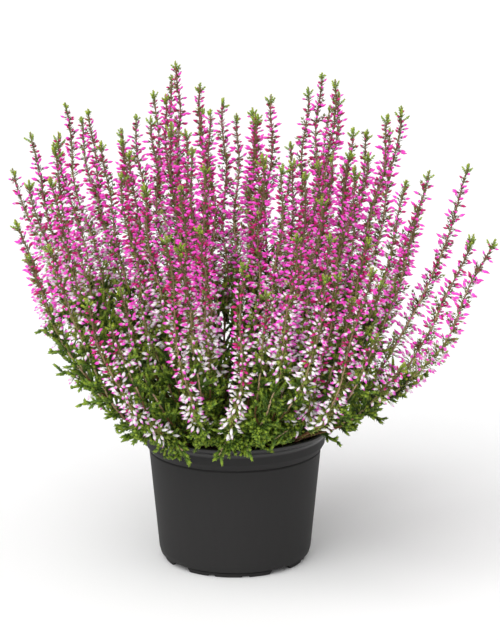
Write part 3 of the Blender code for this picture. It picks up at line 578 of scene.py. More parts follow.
def soil_material(soil):
    """Damp peat, darker in the hollows, with small fibres."""
    nodes = Nodes("crumbly_peat")
    point = nodes.place()
    crumbs = nodes.noise(point, 420.0, 5.0)
    specks = nodes.noise(point, 1500.0, 2.0)
    colour = nodes.mix(crumbs.rise(0.35, 0.65), soil.dark_peat, soil.peat)
    warm = tuple(min(c * 2.2, 1.0) for c in soil.peat)
    colour = nodes.mix(specks.rise(0.62, 0.7) * 0.5, colour, warm)
    bump = nodes.bump(crumbs * 0.7 + specks * 0.3, 0.5 * MM)
    return nodes.finish(
        {"Base Color": colour, "Roughness": 0.95, "Specular IOR Level": 0.15, "Normal": bump}
    )


def floor_material(stage):
    """The plain pale floor."""
    nodes = Nodes("studio_floor")
    return nodes.finish({"Base Color": (*stage.floor, 1.0), "Roughness": 0.9})


def unit(vectors):
    """The vectors at length one."""
    return vectors / np.linalg.norm(vectors, axis=-1, keepdims=True)


def ramp(values, start, width):
    """0 up to the start, 1 from a width past it, and even between them."""
    return np.clip((values - start) / width, 0, 1)


def repeats(counts):
    """For so many copies of each thing: the thing's number, and the copy's own count."""
    numbers = np.repeat(np.arange(len(counts)), counts)
    return numbers, np.arange(counts.sum()) - np.repeat(np.cumsum(counts) - counts, counts)


def whorled(orders, *values):
    """The turns of the leaves in rings of three, and each value once for every leaf of its ring.

    Each ring is turned a half step further than the one below it.
    """
    turns = np.tile(np.arange(WHORL), len(orders)) * WHORL_STEP
    turns = turns + np.repeat(orders, WHORL) * (WHORL_STEP / 2)
    return turns, *(np.repeat(value, WHORL) for value in values)


def around(axes, turns):
    """Directions square to the headings, each at its turn."""
    return axes[:, 0] * np.cos(turns)[:, None] + axes[:, 1] * np.sin(turns)[:, None]


def leaning(headings, others, degrees):
    """Directions that lean by an angle from their headings towards other directions."""
    angles = np.radians(degrees)[:, None]
    return headings * np.cos(angles) + others * np.sin(angles)


def axes_along(headings, towards):
    """Axes as rows: the third is the heading, and the second leans towards a direction."""
    headings = unit(headings)
    side = unit(np.cross(towards, headings))
    return np.stack((side, np.cross(headings, side), headings), axis=-2)


class Path:
    """A smooth line through knots, read by the length along it."""

    def __init__(self, knots):
        knots = np.asarray(knots)
        first = 2 * knots[0] - knots[1]
        last = 2 * knots[-1] - knots[-2]
        line = np.vstack((first, knots, last))
        a, b, c, d = (line[k : len(line) - 3 + k] for k in range(4))
        t = (np.arange(PATH_STEPS) / PATH_STEPS)[:, None, None]
        square = (2 * a - 5 * b + 4 * c - d) * t**2
        cube = (3 * b - a - 3 * c + d) * t**3
        curve = (2 * b + (c - a) * t + square + cube) / 2
        self.points = np.vstack((curve.transpose(1, 0, 2).reshape(-1, 3), knots[-1]))
        steps = np.linalg.norm(np.diff(self.points, axis=0), axis=1)
        self.lengths = np.concatenate(([0.0], np.cumsum(steps)))
        self.length = self.lengths[-1]
        self.knot_lengths = self.lengths[::PATH_STEPS]
        self.headings = unit(np.gradient(self.points, axis=0))
        self.sides = self.carried_sides()

    def carried_sides(self):
        """A side direction at each point, carried up the line without twisting."""
        side = np.array((1.0, 0.0, 0.0))
        sides = []
        for heading in self.headings:
            side = unit(side - heading * side.dot(heading))
            sides.append(side)
        return np.array(sides)

    def read(self, table, lengths):
        """The rows of a table that has one for each point, between them by length."""
        return np.stack([np.interp(lengths, self.lengths, column) for column in table.T], -1)

    def at(self, lengths):
        """The points at lengths."""
        return self.read(self.points, lengths)

    def axes(self, lengths):
        """Axes as rows: side, other side and heading."""
        return axes_along(self.read(self.headings, lengths), self.read(self.sides, lengths))

    def fan(self, lengths, turns):
        """The points at lengths, directions from them at turns round the line, and headings."""
        axes = self.axes(lengths)
        return self.at(lengths), around(axes, turns), axes[:, 2]

    def length_at_height(self, height):
        """The length at which a rising line is at a height."""
        return np.interp(height, self.points[:, 2], self.lengths)


class Stem:
    """A stem read from a packed shoot: its path, where its flowers begin, its place in the bush."""

    def __init__(self, knots, radii):
        self.path = Path(knots)
        self.leafy = radii[1] < SPRIG_RADIUS
        flowering = [k for k, r in enumerate(radii) if k > 0 and r > FLOWERING_RADIUS]
        self.flowers = self.path.length
        if flowering:
            self.flowers = self.path.knot_lengths[flowering[0]]
        x, y, z = self.path.points[-1]
        self.outside = ramp(math.hypot(x, y), OUTSIDE_START, OUTSIDE_WIDTH)
        self.far_right = ramp(x, FAR_RIGHT_START, FAR_RIGHT_WIDTH)
        self.tallness = np.interp(z, TIP_HEIGHTS, (0.3, 1.0))


def welded(mesh):
    """The points of a mesh with doubles joined, and its triangles by those points."""
    corners = np.empty(len(mesh.vertices) * 3)
    mesh.vertices.foreach_get("co", corners)
    points, numbers = np.unique(corners.reshape(-1, 3), axis=0, return_inverse=True)
    faces = np.empty(len(mesh.loops), int)
    mesh.loops.foreach_get("vertex_index", faces)
    return points, numbers.reshape(-1)[faces].reshape(-1, 3).tolist()


def read_stems(mesh):
    """The stems of a packed shoot. Its skin is rings of three points, and peaks on its faces."""
    points, faces = welded(mesh)
    near = [set() for _ in points]
    for face in faces:
        for corner in face:
            near[corner].update(face)
            near[corner].discard(corner)
    peaks = {number for number, others in enumerate(near) if len(others) == 3}
    ends = {frozenset(near[peak]): peak for peak in peaks}
    skin = {frozenset(face) for face in faces}.union(ends)
    rings = set()
    for a in set(range(len(points))) - peaks:
        for b in near[a] - peaks:
            rings.update(frozenset((a, b, c)) for c in near[a] & near[b] - peaks)
    rings -= skin

    def follows(ring, below):
        return not ring & below and all(len(near[point] & below) == 2 for point in ring)

    def climb(ring):
        """The rings from a stem's first one to its last, and the point at its end."""
        chain = [ring]
        while above := [other for other in rings if follows(other, chain[-1])]:
            chain.append(above[0])
            rings.remove(above[0])
        last = next(base for base in ends if follows(base, chain[-1]))
        return [*chain, last], points[ends[last]]

    stems = []
    firsts = [frozenset(np.argsort(points[:, 2])[:3].tolist())]
    while firsts:
        chain, end = climb(firsts.pop())
        corners = np.array([points[list(ring)] for ring in chain])
        middles = corners.mean(axis=1)
        radii = np.linalg.norm(corners - middles[:, None], axis=2).mean(axis=1)
        if stems:
            line = np.vstack([stem.path.points for stem in stems])
            gaps = np.linalg.norm(line - middles[0], axis=1)
            middles[0] = line[gaps.argmin()]
        stems.append(Stem([*middles, end], radii))
        used = frozenset().union(*chain)
        sides = [ring for ring in rings if ring & used]
        rings.difference_update(sides)
        firsts += sides
    return stems


class Heap:
    """Triangles gathered from many small shapes, each corner with its place on the map."""

    def __init__(self):
        self.points = []
        self.faces = []
        self.spots = []
        self.finishes = []
        self.count = 0

    def add(self, points, faces, spots, finish):
        """Puts triangles of one finish on the heap."""
        self.points.append(points.reshape(-1, 3))
        self.faces.append(faces.reshape(-1, 3) + self.count)
        self.spots.append(spots.reshape(-1, 2))
        self.finishes.append(np.full(faces.size // 3, finish))
        self.count += points.size // 3

    def make(self, name, materials):
        """One mesh object of all that was added."""
        mesh = bpy.data.meshes.new(name)
        points, faces = np.concatenate(self.points), np.concatenate(self.faces)
        mesh.from_pydata(points.tolist(), [], faces.tolist())
        mesh.polygons.foreach_set("material_index", np.concatenate(self.finishes))
        mesh.shade_smooth()
        layer = mesh.uv_layers.new(name=MAP_NAME)
        layer.uv.foreach_set("vector", np.concatenate(self.spots).ravel())
        mesh.validate()
        for material in materials:
            mesh.materials.append(material)
        return shown(name, mesh)


class Shape:
    """A small shape, one long and one wide, that is copied many times."""

    def __init__(self, points, faces, spots):
        self.points = np.array(points)
        self.faces = np.array(faces)
        self.spots = np.array(spots)

    def put(self, heap, finish, feet, axes, widths, lengths, cells, bends=0.0, flatness=1.0):
        """Adds copies on their feet, along their axes, each with its own cell of the map."""
        widths, lengths, bends = (np.reshape(v, (-1, 1)) for v in (widths, lengths, bends))
        x, y, z = self.points.T
        local = np.empty((len(feet), len(x), 3))
        local[..., 0] = x * widths
        local[..., 1] = y * widths * flatness + bends * z**2
        local[..., 2] = z * lengths
        points = feet[:, None] + local @ axes
        starts = np.arange(len(feet)) * len(x)
        faces = self.faces + starts[:, None, None]
        corners, size = cells
        spots = corners[:, None, None] + self.spots * size
        heap.add(points, faces, spots, finish)


def ring_skin(across, ups):
    """Triangles of a closed skin of rings with a point at each end, and their places on the map.

    On the map its sides lie between the places across, and its ends and rings at the heights ups.
    """
    sides, rings = len(across) - 1, len(ups) - 2
    end = 1 + rings * sides
    top = end - sides
    faces, spots = [], []
    for k in range(sides):
        nxt = (k + 1) % sides
        left, right = across[k], across[k + 1]
        middle = (left + right) / 2
        faces.append((0, 1 + nxt, 1 + k))
        spots.append(((middle, ups[0]), (right, ups[1]), (left, ups[1])))
        for ring in range(1, rings):
            low = 1 + (ring - 1) * sides
            high = low + sides
            under, over = ups[ring], ups[ring + 1]
            faces.append((low + k, low + nxt, high + nxt))
            spots.append(((left, under), (right, under), (right, over)))
            faces.append((low + k, high + nxt, high + k))
            spots.append(((left, under), (right, over), (left, over)))
        faces.append((top + k, top + nxt, end))
        spots.append(((left, ups[-2]), (right, ups[-2]), (middle, ups[-1])))
    return np.array(faces), np.array(spots)


def spindle(sides, rings, fold=0.0):
    """A shape with a point at each end and rings of (height, width) between them."""
    turns = TAU * np.arange(sides) / sides
    radii = 0.5 * (1.0 - fold * (np.arange(sides) % 2))
    x, y = radii * np.cos(turns), radii * np.sin(turns)
    points = [(0.0, 0.0, 0.0)]
    for height, width in rings:
        points += [(width * a, width * b, height) for a, b in zip(x, y)]
    points.append((0.0, 0.0, 1.0))
    ups = (0.0, *(height for height, _ in rings), 1.0)
    return Shape(points, *ring_skin(np.arange(sides + 1) / sides, ups))


def thorn():
    """A shape with three corners at its foot, which is open, and one point at its end."""
    turns = TAU * (np.arange(3) / 3 + 0.25)
    points = [(0.5 * math.cos(turn), 0.5 * math.sin(turn), 0.0) for turn in turns]
    points.append((0.0, 0.0, 1.0))
    faces, spots = [], []
    for k in range(3):
        faces.append((k, (k + 1) % 3, 3))
        spots.append(((k / 3, 0.0), ((k + 1) / 3, 0.0), ((k + 0.5) / 3, 1.0)))
    return Shape(points, faces, spots)


BUD_SHAPE = spindle(6, ((0.2, 0.74), (0.56, 0.94)), fold=0.1)
LEAF_SHAPE = thorn()
CORE_SHAPE = spindle(5, ((0.08, 0.8), (0.88, 0.95)))


def bud_cells(paleness, rows):
    """Each bud's cell: a column for how pale it is, and a row for its tone."""
    width, height = BUDS_END / BUD_COLUMNS, 1 / BUD_ROWS
    columns = np.clip((paleness * BUD_COLUMNS).astype(int), 0, BUD_COLUMNS - 1)
    corners = np.stack((columns + CELL_MARGIN, rows + CELL_MARGIN), -1) * (width, height)
    return corners, np.array((width, height)) * (1 - 2 * CELL_MARGIN)


def leaf_cells(tones, row=0):
    """Each leaf's cell: a narrow strip at its tone, in the row of its kind."""
    across = BUDS_END + (LEAVES_END - BUDS_END - TONE_WIDTH) * np.clip(tones, 0, 1)
    up = np.full(len(across), (row + CELL_MARGIN) / LEAF_ROWS)
    size = np.array((TONE_WIDTH, (1 - 2 * CELL_MARGIN) / LEAF_ROWS))
    return np.stack((across, up), -1), size


def in_the_way(points):
    """Which points lie in the pot's wall or lip, or in the soil."""
    radius = np.hypot(points[..., 0], points[..., 1])
    height = points[..., 2]
    reach = np.where(height > LIP_UNDERSIDE - LIP_MARGIN, LIP_RADIUS, BAND_RADIUS) + POT_ROOM
    wall = (radius > INSIDE_RADIUS) & (radius < reach) & (height < LIP_TOP + POT_ROOM)
    soil = (radius <= INSIDE_RADIUS) & (height < SOIL_HIGH.z + POT_ROOM)
    return wall | soil


def hides_soil(points):
    """Which points the camera sees in front of the open part of the soil."""
    across = points[..., 0]
    behind = points[..., 1] + (points[..., 2] - SOIL_HIGH.z) / VIEW_SLOPE
    strip = (across > OPEN_SOIL_LEFT) & (across < OPEN_SOIL_RIGHT)
    return strip & (behind < OPEN_SOIL_BACK + OPEN_SOIL_SLANT * across)


def put_leaves(heap, feet, headings, towards, lengths, width, tones, bends=0.0, row=0):
    """Scale leaves on feet, their width a share of their length, apart from any in the pot."""
    free = ~in_the_way(feet + unit(headings) * np.reshape(lengths, (-1, 1)))
    if not free.any():
        return
    feet, tones = feet[free], tones[free]
    lengths, bends = (np.broadcast_to(v, len(free))[free] for v in (lengths, bends))
    axes = axes_along(headings, towards)[free]
    cells = leaf_cells(tones, row)
    widths = lengths * width
    LEAF_SHAPE.put(heap, LEAF, feet, axes, widths, lengths, cells, bends, LEAF_FLATNESS)


class Twigs:
    """Many leafy twigs at once, each a line that starts one way and bends towards another."""

    def __init__(self, feet, headings, towards, lengths, bends, tones):
        self.feet = feet
        self.axes = axes_along(headings, towards)
        self.lengths = lengths
        self.bends = bends
        self.tones = tones

    def at(self, numbers, shares):
        """The points at shares of the numbered twigs."""
        ahead = self.axes[numbers, 2] * (self.lengths[numbers] * shares)[:, None]
        aside = self.axes[numbers, 1] * (self.bends[numbers] * shares**2)[:, None]
        return self.feet[numbers] + ahead + aside

    def axes_at(self, numbers, shares):
        """The axes at shares of the numbered twigs: side, other side and heading."""
        ahead = self.axes[numbers, 2] * self.lengths[numbers][:, None]
        aside = self.axes[numbers, 1] * (2 * self.bends[numbers] * shares)[:, None]
        return axes_along(ahead + aside, self.axes[numbers, 1] + 0.01 * UP)

    def clear(self):
        """These twigs without the ones that would run into the pot or hide the open soil."""
        numbers = np.arange(len(self.feet))
        free = np.ones(len(numbers), bool)
        for share in CLEAR_SHARES:
            place = self.at(numbers, np.full(len(numbers), share))
            free &= ~(in_the_way(place) | hides_soil(place))
        parts = (self.feet, self.axes[:, 2], self.axes[:, 1], self.lengths, self.bends, self.tones)
        return Twigs(*(part[free] for part in parts))

    def marks(self, spacing, start=0.0):
        """Marks at even distances along every twig: the twig's number, share and own count."""
        counts = np.maximum((self.lengths * (1 - start) / spacing).astype(int), 1)
        numbers, order = repeats(counts)
        return numbers, start + (1 - start) * (order + 0.5) / counts[numbers], order

    def put_core(self, heap, width):
        """The twigs' own thick green middles."""
        cells = leaf_cells(self.tones - 0.05)
        CORE_SHAPE.put(heap, LEAF, self.feet, self.axes, width, self.lengths, cells, self.bends)

    def put_stalks(self, heap, width):
        """Thin middles of olive green."""
        cells = leaf_cells(self.tones - 0.1, CALYX_ROW)
        LEAF_SHAPE.put(heap, LEAF, self.feet, self.axes, width, self.lengths, cells, self.bends)

    def put_leaves(self, heap, rng, leaves, scale=1.0, spacing=None, row=0):
        """Whorls of leaves from foot to tip, fresher at the tip."""
        if not len(self.feet):
            return
        numbers, shares, order = self.marks(spacing or leaves.whorl_spacing)
        turns, numbers, shares = whorled(order, numbers, shares)
        total = len(numbers)
        axes = self.axes_at(numbers, shares)
        headings = axes[:, 2]
        radial = around(axes, turns + rng.normal(0, 0.25, total))
        ways = leaning(headings, radial, rng.uniform(30, 58, total) * (1 - 0.6 * shares**4))
        lengths = scale * leaves.length * rng.uniform(0.85, 1.15, total)
        tones = self.tones[numbers] + 0.26 * shares**2 + rng.normal(0, 0.09, total)
        start = 0.35 * leaves.core * scale * (1 - shares**4)[:, None]
        feet = self.at(numbers, shares) + radial * start
        width = leaves.width / leaves.length
        put_leaves(heap, feet, ways, headings, lengths, width, tones, 0.2 * lengths, row)

    def side_twigs(self, rng, spacing, length):
        """Shorter twigs all round these, each pointing up and out."""
        numbers, shares, order = self.marks(spacing, 0.15)
        total = len(numbers)
        axes = self.axes_at(numbers, shares)
        radial = around(axes, order * GOLDEN_TURN + numbers + rng.normal(0, 0.3, total))
        ways = leaning(axes[:, 2], radial, rng.uniform(32, 58, total))
        lengths = length * rng.uniform(0.65, 1.25, total) * (1 - 0.4 * shares)
        tones = self.tones[numbers] + 0.1 * shares + rng.normal(0, 0.05, total)
        towards = UP + 0.01 * axes[:, 2]
        return Twigs(self.at(numbers, shares), ways, towards, lengths, 0.25 * lengths, tones)


def put_stem(heap, stem, stems):
    """A closed round stem along a path, thinner towards its tip."""
    path = stem.path
    lengths = np.linspace(0, path.length, max(int(path.length / STEM_STEP), 3))
    if stem.leafy:
        marks, ages = (0.0, path.length), SPRIG_AGES
        sizes = (stems.flower_radius, SPRIG_TIP_RADIUS)
    else:
        rooted = path.points[0, 2] < SOIL_HIGH.z
        marks = (0.0, min(SHADED_FOOT_LENGTH, 0.9 * stem.flowers), stem.flowers, path.length)
        ages = ROOTED_AGES if rooted else FORK_AGES
        foot = stems.foot_radius if rooted else stems.flower_radius
        sizes = (foot, foot, stems.flower_radius, stems.tip_radius)
    radii = np.interp(lengths, marks, sizes)
    turns = TAU * np.arange(STEM_SIDES) / STEM_SIDES
    circle = np.stack((np.cos(turns), np.sin(turns)), -1)
    middles = path.at(lengths)
    rings = middles[:, None] + (circle @ path.axes(lengths)[:, :2]) * radii[:, None, None]
    points = np.vstack((middles[0], rings.reshape(-1, 3), middles[-1]))
    up = CELL_MARGIN + (1 - 2 * CELL_MARGIN) * np.interp(lengths, marks, ages)
    across = np.linspace(LEAVES_END + BARK_MARGIN, 1 - BARK_MARGIN, STEM_SIDES + 1)
    skin = ring_skin(across, (up[0] - CAP_HEIGHT, *up, up[-1] + CAP_HEIGHT))
    heap.add(points, *skin, BARK)


def flower_marks(rng, stem, flowers, leaves):
    """The lengths of a stem's flower nodes, and how far each is up its flowering part."""
    start = stem.flowers
    end = stem.path.length - 0.7 * leaves.tuft_length
    marks = []
    length = start
    while length < end:
        marks.append(length)
        share = (length - start) / (end - start)
        spacing = flowers.spacing_low + (flowers.spacing_high - flowers.spacing_low) * share
        length += spacing * rng.uniform(0.85, 1.15)
    marks = np.array(marks)
    return marks, (marks - start) / (end - start)


def bud_paleness(stem, places, share):
    """How pale buds are: paler low down, less pale at the far right, and less pale inside the bush
    as painted shade.
    """
    height = np.interp(places[:, 2], RIPENING_HEIGHTS, (0, 1))
    level = 0.5 * (1 - 0.7 * stem.far_right)
    ripe = level * height + (1 - level) * stem.tallness * np.clip(share * 1.15, 0, 1)
    paleness = 1 - ripe ** (0.85 - 0.35 * stem.far_right) + stem.pale_shift
    # Painted shade: buds deeper inside the bush darker and more magenta
    return paleness - 0.1 * stem.far_right - 0.15 * (1 - stem.outside)


def put_flowers(heap, rng, stem, flowers, leaves):
    """Pairs of bud clusters up a stem, each pair turned a quarter against the last."""
    marks, shares = flower_marks(rng, stem, flowers, leaves)
    count = len(marks)
    turns = rng.uniform(0, TAU) + np.arange(count) * (TAU / 4 + 0.1) + rng.normal(0, 0.15, count)
    marks, shares = np.repeat(marks, 2), np.repeat(shares, 2)
    turns = np.repeat(turns, 2) + np.tile((0.0, math.pi), count)
    put_cluster_leaves(heap, rng, stem, marks, shares, turns, flowers)

    buds = (np.interp(shares, *CLUSTER_BUDS) + rng.random(len(shares))).astype(int)
    axils, order = repeats(buds)
    share = shares[axils]
    total = len(share)
    offset = order - (buds[axils] - 1) / 2
    turn = turns[axils] + offset * BUD_TURN + rng.normal(0, BUD_FREEDOM, total)
    low, high = np.interp(share, *BUDS_LOWEST_RISE), np.interp(share, *BUDS_HIGHEST_RISE)
    rise = low + (high - low) * rng.random(total)
    length = marks[axils] + rng.normal(0, 0.5 * MM, total)
    middle, radial, headings = stem.path.fan(length, turn)
    ways = leaning(radial, headings, rise)
    end = ramp(share, 0.86, 0.14)
    young = rng.random(total) < stem.tallness * np.interp(share, *YOUNG_BUDS)
    size = (1 - (1 - flowers.top_buds) * share) * (1 - 0.25 * end) * (1 - 0.16 * young)
    size = size * rng.uniform(0.86, 1.12, total)
    stalks = np.interp(share, (0, 1), (flowers.stalk_low, flowers.stalk_high))
    stalks = stalks * rng.uniform(0.8, 1.2, total) * (1 - 0.4 * young) * (1 - 0.3 * end)
    feet = middle + ways * stalks[:, None]
    droop = unit(ways - UP * (0.22 * (1 - share) * rng.random(total))[:, None])
    lengths = flowers.bud_length * size
    widths = flowers.bud_width * size * (1 + 0.15 * young)
    paleness = bud_paleness(stem, middle, share) + rng.normal(0, 0.1, total)
    rows = np.where(young, YOUNG_ROW, rng.integers(0, YOUNG_ROW, total))
    axes = axes_along(droop, rng.normal(0, 1, (total, 3)))
    bends = rng.normal(0, 0.05, total) * lengths
    ends = feet + droop * lengths[:, None]
    free = ~(in_the_way(ends) | hides_soil(ends))
    feet, axes, widths, lengths, bends = (v[free] for v in (feet, axes, widths, lengths, bends))
    cells = bud_cells(paleness[free], rows[free])
    BUD_SHAPE.put(heap, BUD, feet, axes, widths, lengths, cells, bends)
    put_bracts(heap, rng, feet, droop[free], middle[free], share[free], flowers)


def put_bracts(heap, rng, feet, droop, middle, share, flowers):
    """A stalk under each bud, and a small leaf against its base."""
    total = len(feet)
    tones = np.interp(share, *BRACT_TONES) + rng.normal(0, 0.1, total)
    back = middle - feet
    stalks = np.linalg.norm(back, axis=1)
    axes = axes_along(back, UP + 0.01)
    cells = leaf_cells(tones - 0.15, CALYX_ROW)
    LEAF_SHAPE.put(heap, LEAF, feet - back * 0.1, axes, STALK_WIDTH, stalks, cells)
    lengths = flowers.bract * rng.uniform(0.75, 1.15, total) * (1 - 0.15 * share)
    roll = unit(np.cross(droop, rng.normal(0, 1, (total, 3))))
    starts = feet - droop * BUD_BASE + roll * (0.6 * BUD_BASE)
    put_leaves(heap, starts, droop + roll * 0.5, -roll, lengths, 0.5, tones, row=CALYX_ROW)


def put_cluster_leaves(heap, rng, stem, marks, shares, turns, flowers):
    """Stem leaves under each cluster, on both sides of it and in its middle, darker inside the bush
    by painted shade.
    """
    total = len(marks)
    # Painted shade: cluster leaves darker deeper inside the bush
    painted_inner_shade = 0.25 * (1 - stem.outside)
    for shift, swing, scale in CLUSTER_LEAVES:
        turn = turns + swing + rng.normal(0, 0.2, total)
        middle, radial, headings = stem.path.fan(marks + shift, turn)
        lengths = flowers.stem_leaf * scale * rng.uniform(0.8, 1.2, total)
        tones = np.interp(shares, *CLUSTER_TONES) + rng.normal(-painted_inner_shade, 0.12, total)
        ways = radial + headings * rng.uniform(0.3, 1.0, total)[:, None]
        feet = middle + radial * (0.4 * MM)
        put_leaves(heap, feet, ways, headings, lengths, 0.45, tones, 0.1 * lengths, CALYX_ROW)


def put_leafy_shoots(heap, rng, stem, flowers, leaves):
    """Short leafy shoots in the axils between the flowers, fewer and shorter higher up."""
    marks, shares = flower_marks(rng, stem, flowers, leaves)
    kept = rng.random(len(marks)) < np.interp(shares, *LEAFY_SHOOTS)
    marks, shares = marks[kept], shares[kept]
    count = len(marks)
    feet, radial, headings = stem.path.fan(marks, rng.uniform(0, TAU, count))
    ways = radial + headings * rng.uniform(0.4, 1.1, (count, 1))
    wide = 1.9 - 0.9 * stem.outside + 0.5 * stem.far_right
    size = flowers.shoot * wide * rng.uniform(0.6, 1.2, count) * (1 - 0.5 * shares)
    tones = np.interp(shares, (0, 0.4, 1), (0.45 + 0.4 * stem.outside, 0.45, 0.35))
    tones = tones + rng.normal(0, 0.12, count)
    shoots = Twigs(feet, ways, headings, size, 0.2 * size, tones).clear()
    shoots.put_stalks(heap, SHORT_CORE)
    shoots.put_leaves(heap, rng, leaves, scale=1.15, spacing=SHORT_LEAF_SPACING, row=CALYX_ROW)


def put_neck(heap, rng, stem, leaves):
    """Small dark leaves pressed against the stem under its tuft."""
    end = stem.path.length - 0.5 * leaves.tuft_length
    marks = np.arange(end - NECK_LENGTH, end, NECK_SPACING)
    turns, lengths = whorled(np.arange(len(marks)), marks)
    total = len(lengths)
    feet, radial, headings = stem.path.fan(lengths, turns)
    sizes = leaves.length * rng.uniform(0.8, 1.1, total)
    tones = np.interp(lengths, (end - NECK_LENGTH, end), (0.3, 0.8)) + rng.normal(0, 0.1, total)
    put_leaves(heap, feet, headings + radial * 0.6, headings, sizes, 0.6, tones, row=CALYX_ROW)


def put_tuft(heap, rng, stem, leaves):
    """The end of a flowering stem: small crowded lobes of yellow green leaves, side by side."""
    put_neck(heap, rng, stem, leaves)
    short, long = rng.random(2) < ODD_TUFTS
    lobes = rng.integers(4, 6) + 2 * long
    tall = SHORT_TUFT if short else LONG_TUFT if long else 1.0
    end, tuft = stem.path.length, tall * leaves.tuft_length
    lengths = end - tuft + tuft * np.linspace(0.1, 1 - 0.55 / max(tall, 1), lobes)
    turns = rng.uniform(0, TAU) + np.arange(lobes) * GOLDEN_TURN
    feet, radial, headings = stem.path.fan(lengths, turns)
    spread = np.linspace(1.4, 0.1, lobes)[:, None] * rng.uniform(0.8, 1.2, (lobes, 1))
    size = np.minimum(end - lengths, leaves.tuft_length) * rng.uniform(0.75, 0.95, lobes)
    size[-1] = end - lengths[-1]
    tones = rng.uniform(0.68, 0.82, lobes)
    lobe = Twigs(feet, headings + radial * spread, headings, size, 0.1 * size, tones)
    lobe.put_core(heap, 0.45 * leaves.core)
    lobe.put_leaves(heap, rng, leaves, scale=0.8, spacing=TUFT_SPACING)


def stem_twigs(rng, stem, lowest, highest, spacing, length, lean):
    """Leafy twigs on part of a stem, turned by the golden angle, shorter higher up, with painted
    shade that darkens them higher up, deep in the bush and towards the right.
    """
    count = max(int((highest - lowest) / spacing), 1)
    share = (np.arange(count) + rng.random(count)) / count
    turns = rng.uniform(0, TAU) + np.arange(count) * GOLDEN_TURN
    feet, radial, headings = stem.path.fan(lowest + share * (highest - lowest), turns)
    ways = radial * lean + headings * rng.uniform(0.4, 1.2, count)[:, None]
    size = length * rng.uniform(0.65, 1.3, count) * (1 - 0.45 * share)
    # Painted light and shade: twigs lighter further out, darker deep in the bush, higher up and
    # towards the right
    outward = ramp(np.hypot(feet[:, 0], feet[:, 1]), 0.0, PAINTED_LIGHT_RADIUS)
    right = ramp(feet[:, 0], PAINTED_SHADE_RIGHT_START, PAINTED_SHADE_RIGHT_WIDTH)
    tones = 0.08 + 0.4 * outward * (1 - 0.5 * share) * (1 - 0.5 * right)
    tones = tones + rng.normal(0, 0.1, count)
    bends = size * rng.uniform(0.1, 0.3, count)
    return Twigs(feet, ways, np.tile(UP, (count, 1)), size, bends, tones).clear()


def rim_twigs(rng, stem, leaves):
    """Twigs that hang over the front rim from the stems above it."""
    heights = rng.uniform(RIM_TWIGS_LOW, RIM_TWIGS_HIGH, RIM_TWIGS)
    feet = stem.path.at(stem.path.length_at_height(heights))
    inside = (feet[:, 0] > RIM_TWIGS_LEFT) & (feet[:, 0] < RIM_TWIGS_RIGHT)
    feet = feet[inside & (feet[:, 1] < RIM_TWIGS_FRONT) & (feet[:, 2] > RIM_TWIGS_LOW)]
    count = len(feet)
    out = unit(feet * (1.0, 1.0, 0.0))
    aside = np.cross(out, UP) * rng.normal(0, 0.6, (count, 1))
    ways = out * rng.uniform(0.3, 0.9, (count, 1)) + aside - UP * rng.uniform(0.1, 0.9, (count, 1))
    size = 0.8 * leaves.twig_length * rng.uniform(0.5, 1.1, count)
    tones = 0.32 + rng.normal(0, 0.08, count)
    return Twigs(feet, ways, np.tile(-UP, (count, 1)), size, 0.25 * size, tones).clear()


def put_stem_twigs(heap, rng, stem, leaves):
    """Bushy twigs under a stem's flowers, and upright ones that stand among the stems."""
    path = stem.path
    lowest = path.length_at_height(SOIL_HIGH.z + TWIGS_START)
    highest = min(stem.flowers + TWIGS_OVERLAP, path.length - TWIGS_BARE_TIP)
    spacing = leaves.twig_spacing * (1.9 - 0.9 * stem.outside)
    twigs = stem_twigs(rng, stem, lowest, highest, spacing, leaves.twig_length, 1.0)
    sides = twigs.side_twigs(rng, leaves.finger_spacing, leaves.finger_length).clear()
    middle = 0.4 * lowest + 0.6 * highest
    above = highest + UPRIGHT_OVERLAP * (1 - stem.outside)
    tall = UPRIGHT_SCALE * leaves.twig_length
    upright = stem_twigs(rng, stem, middle, above, UPRIGHT_SPACING, tall, 0.55)
    hanging = rim_twigs(rng, stem, leaves)
    low_sides = hanging.side_twigs(rng, leaves.finger_spacing, 0.75 * leaves.finger_length)
    for leafy in (twigs, sides, upright, hanging, low_sides.clear()):
        leafy.put_core(heap, leaves.core)
        leafy.put_leaves(heap, rng, leaves)
    put_own_leaves(heap, rng, stem, leaves, lowest, stem.flowers)


def put_sprig(heap, rng, stem, leaves):
    """Short twigs close together on both sides of a leafy sprig, and leaves on the sprig."""
    end = stem.path.length
    lengths = np.arange(SPRIG_START, end, SPRIG_SPACING)
    count = len(lengths)
    share = lengths / end
    turns = np.arange(count) * (TAU / 2) + rng.normal(0, 0.7, count)
    feet, radial, headings = stem.path.fan(lengths, turns)
    size = rng.uniform(*SPRIG_TWIGS, count) * MM * (1 - 0.5 * share)
    ways = radial + headings * rng.uniform(0.6, 1.2, count)[:, None]
    tones = 0.4 + 0.1 * share + rng.normal(0, 0.05, count)
    twigs = Twigs(feet, ways, headings, size, 0.2 * size, tones).clear()
    twigs.put_core(heap, leaves.core)
    twigs.put_leaves(heap, rng, leaves)
    put_own_leaves(heap, rng, stem, leaves, SPRIG_START, end)


def put_own_leaves(heap, rng, stem, leaves, start, end):
    """Whorls of leaves on a stem itself."""
    marks = np.arange(start, end, leaves.whorl_spacing)
    turns, lengths = whorled(np.arange(len(marks)), marks)
    total = len(lengths)
    feet, radial, headings = stem.path.fan(lengths, turns)
    ways = leaning(headings, radial, rng.uniform(30, 50, total))
    tones = 0.35 + 0.25 * (lengths - start) / (end - start) + rng.normal(0, 0.08, total)
    sizes = leaves.length * rng.uniform(0.9, 1.4, total)
    put_leaves(heap, feet, ways, headings, sizes, 0.6, tones, 0.12 * sizes)


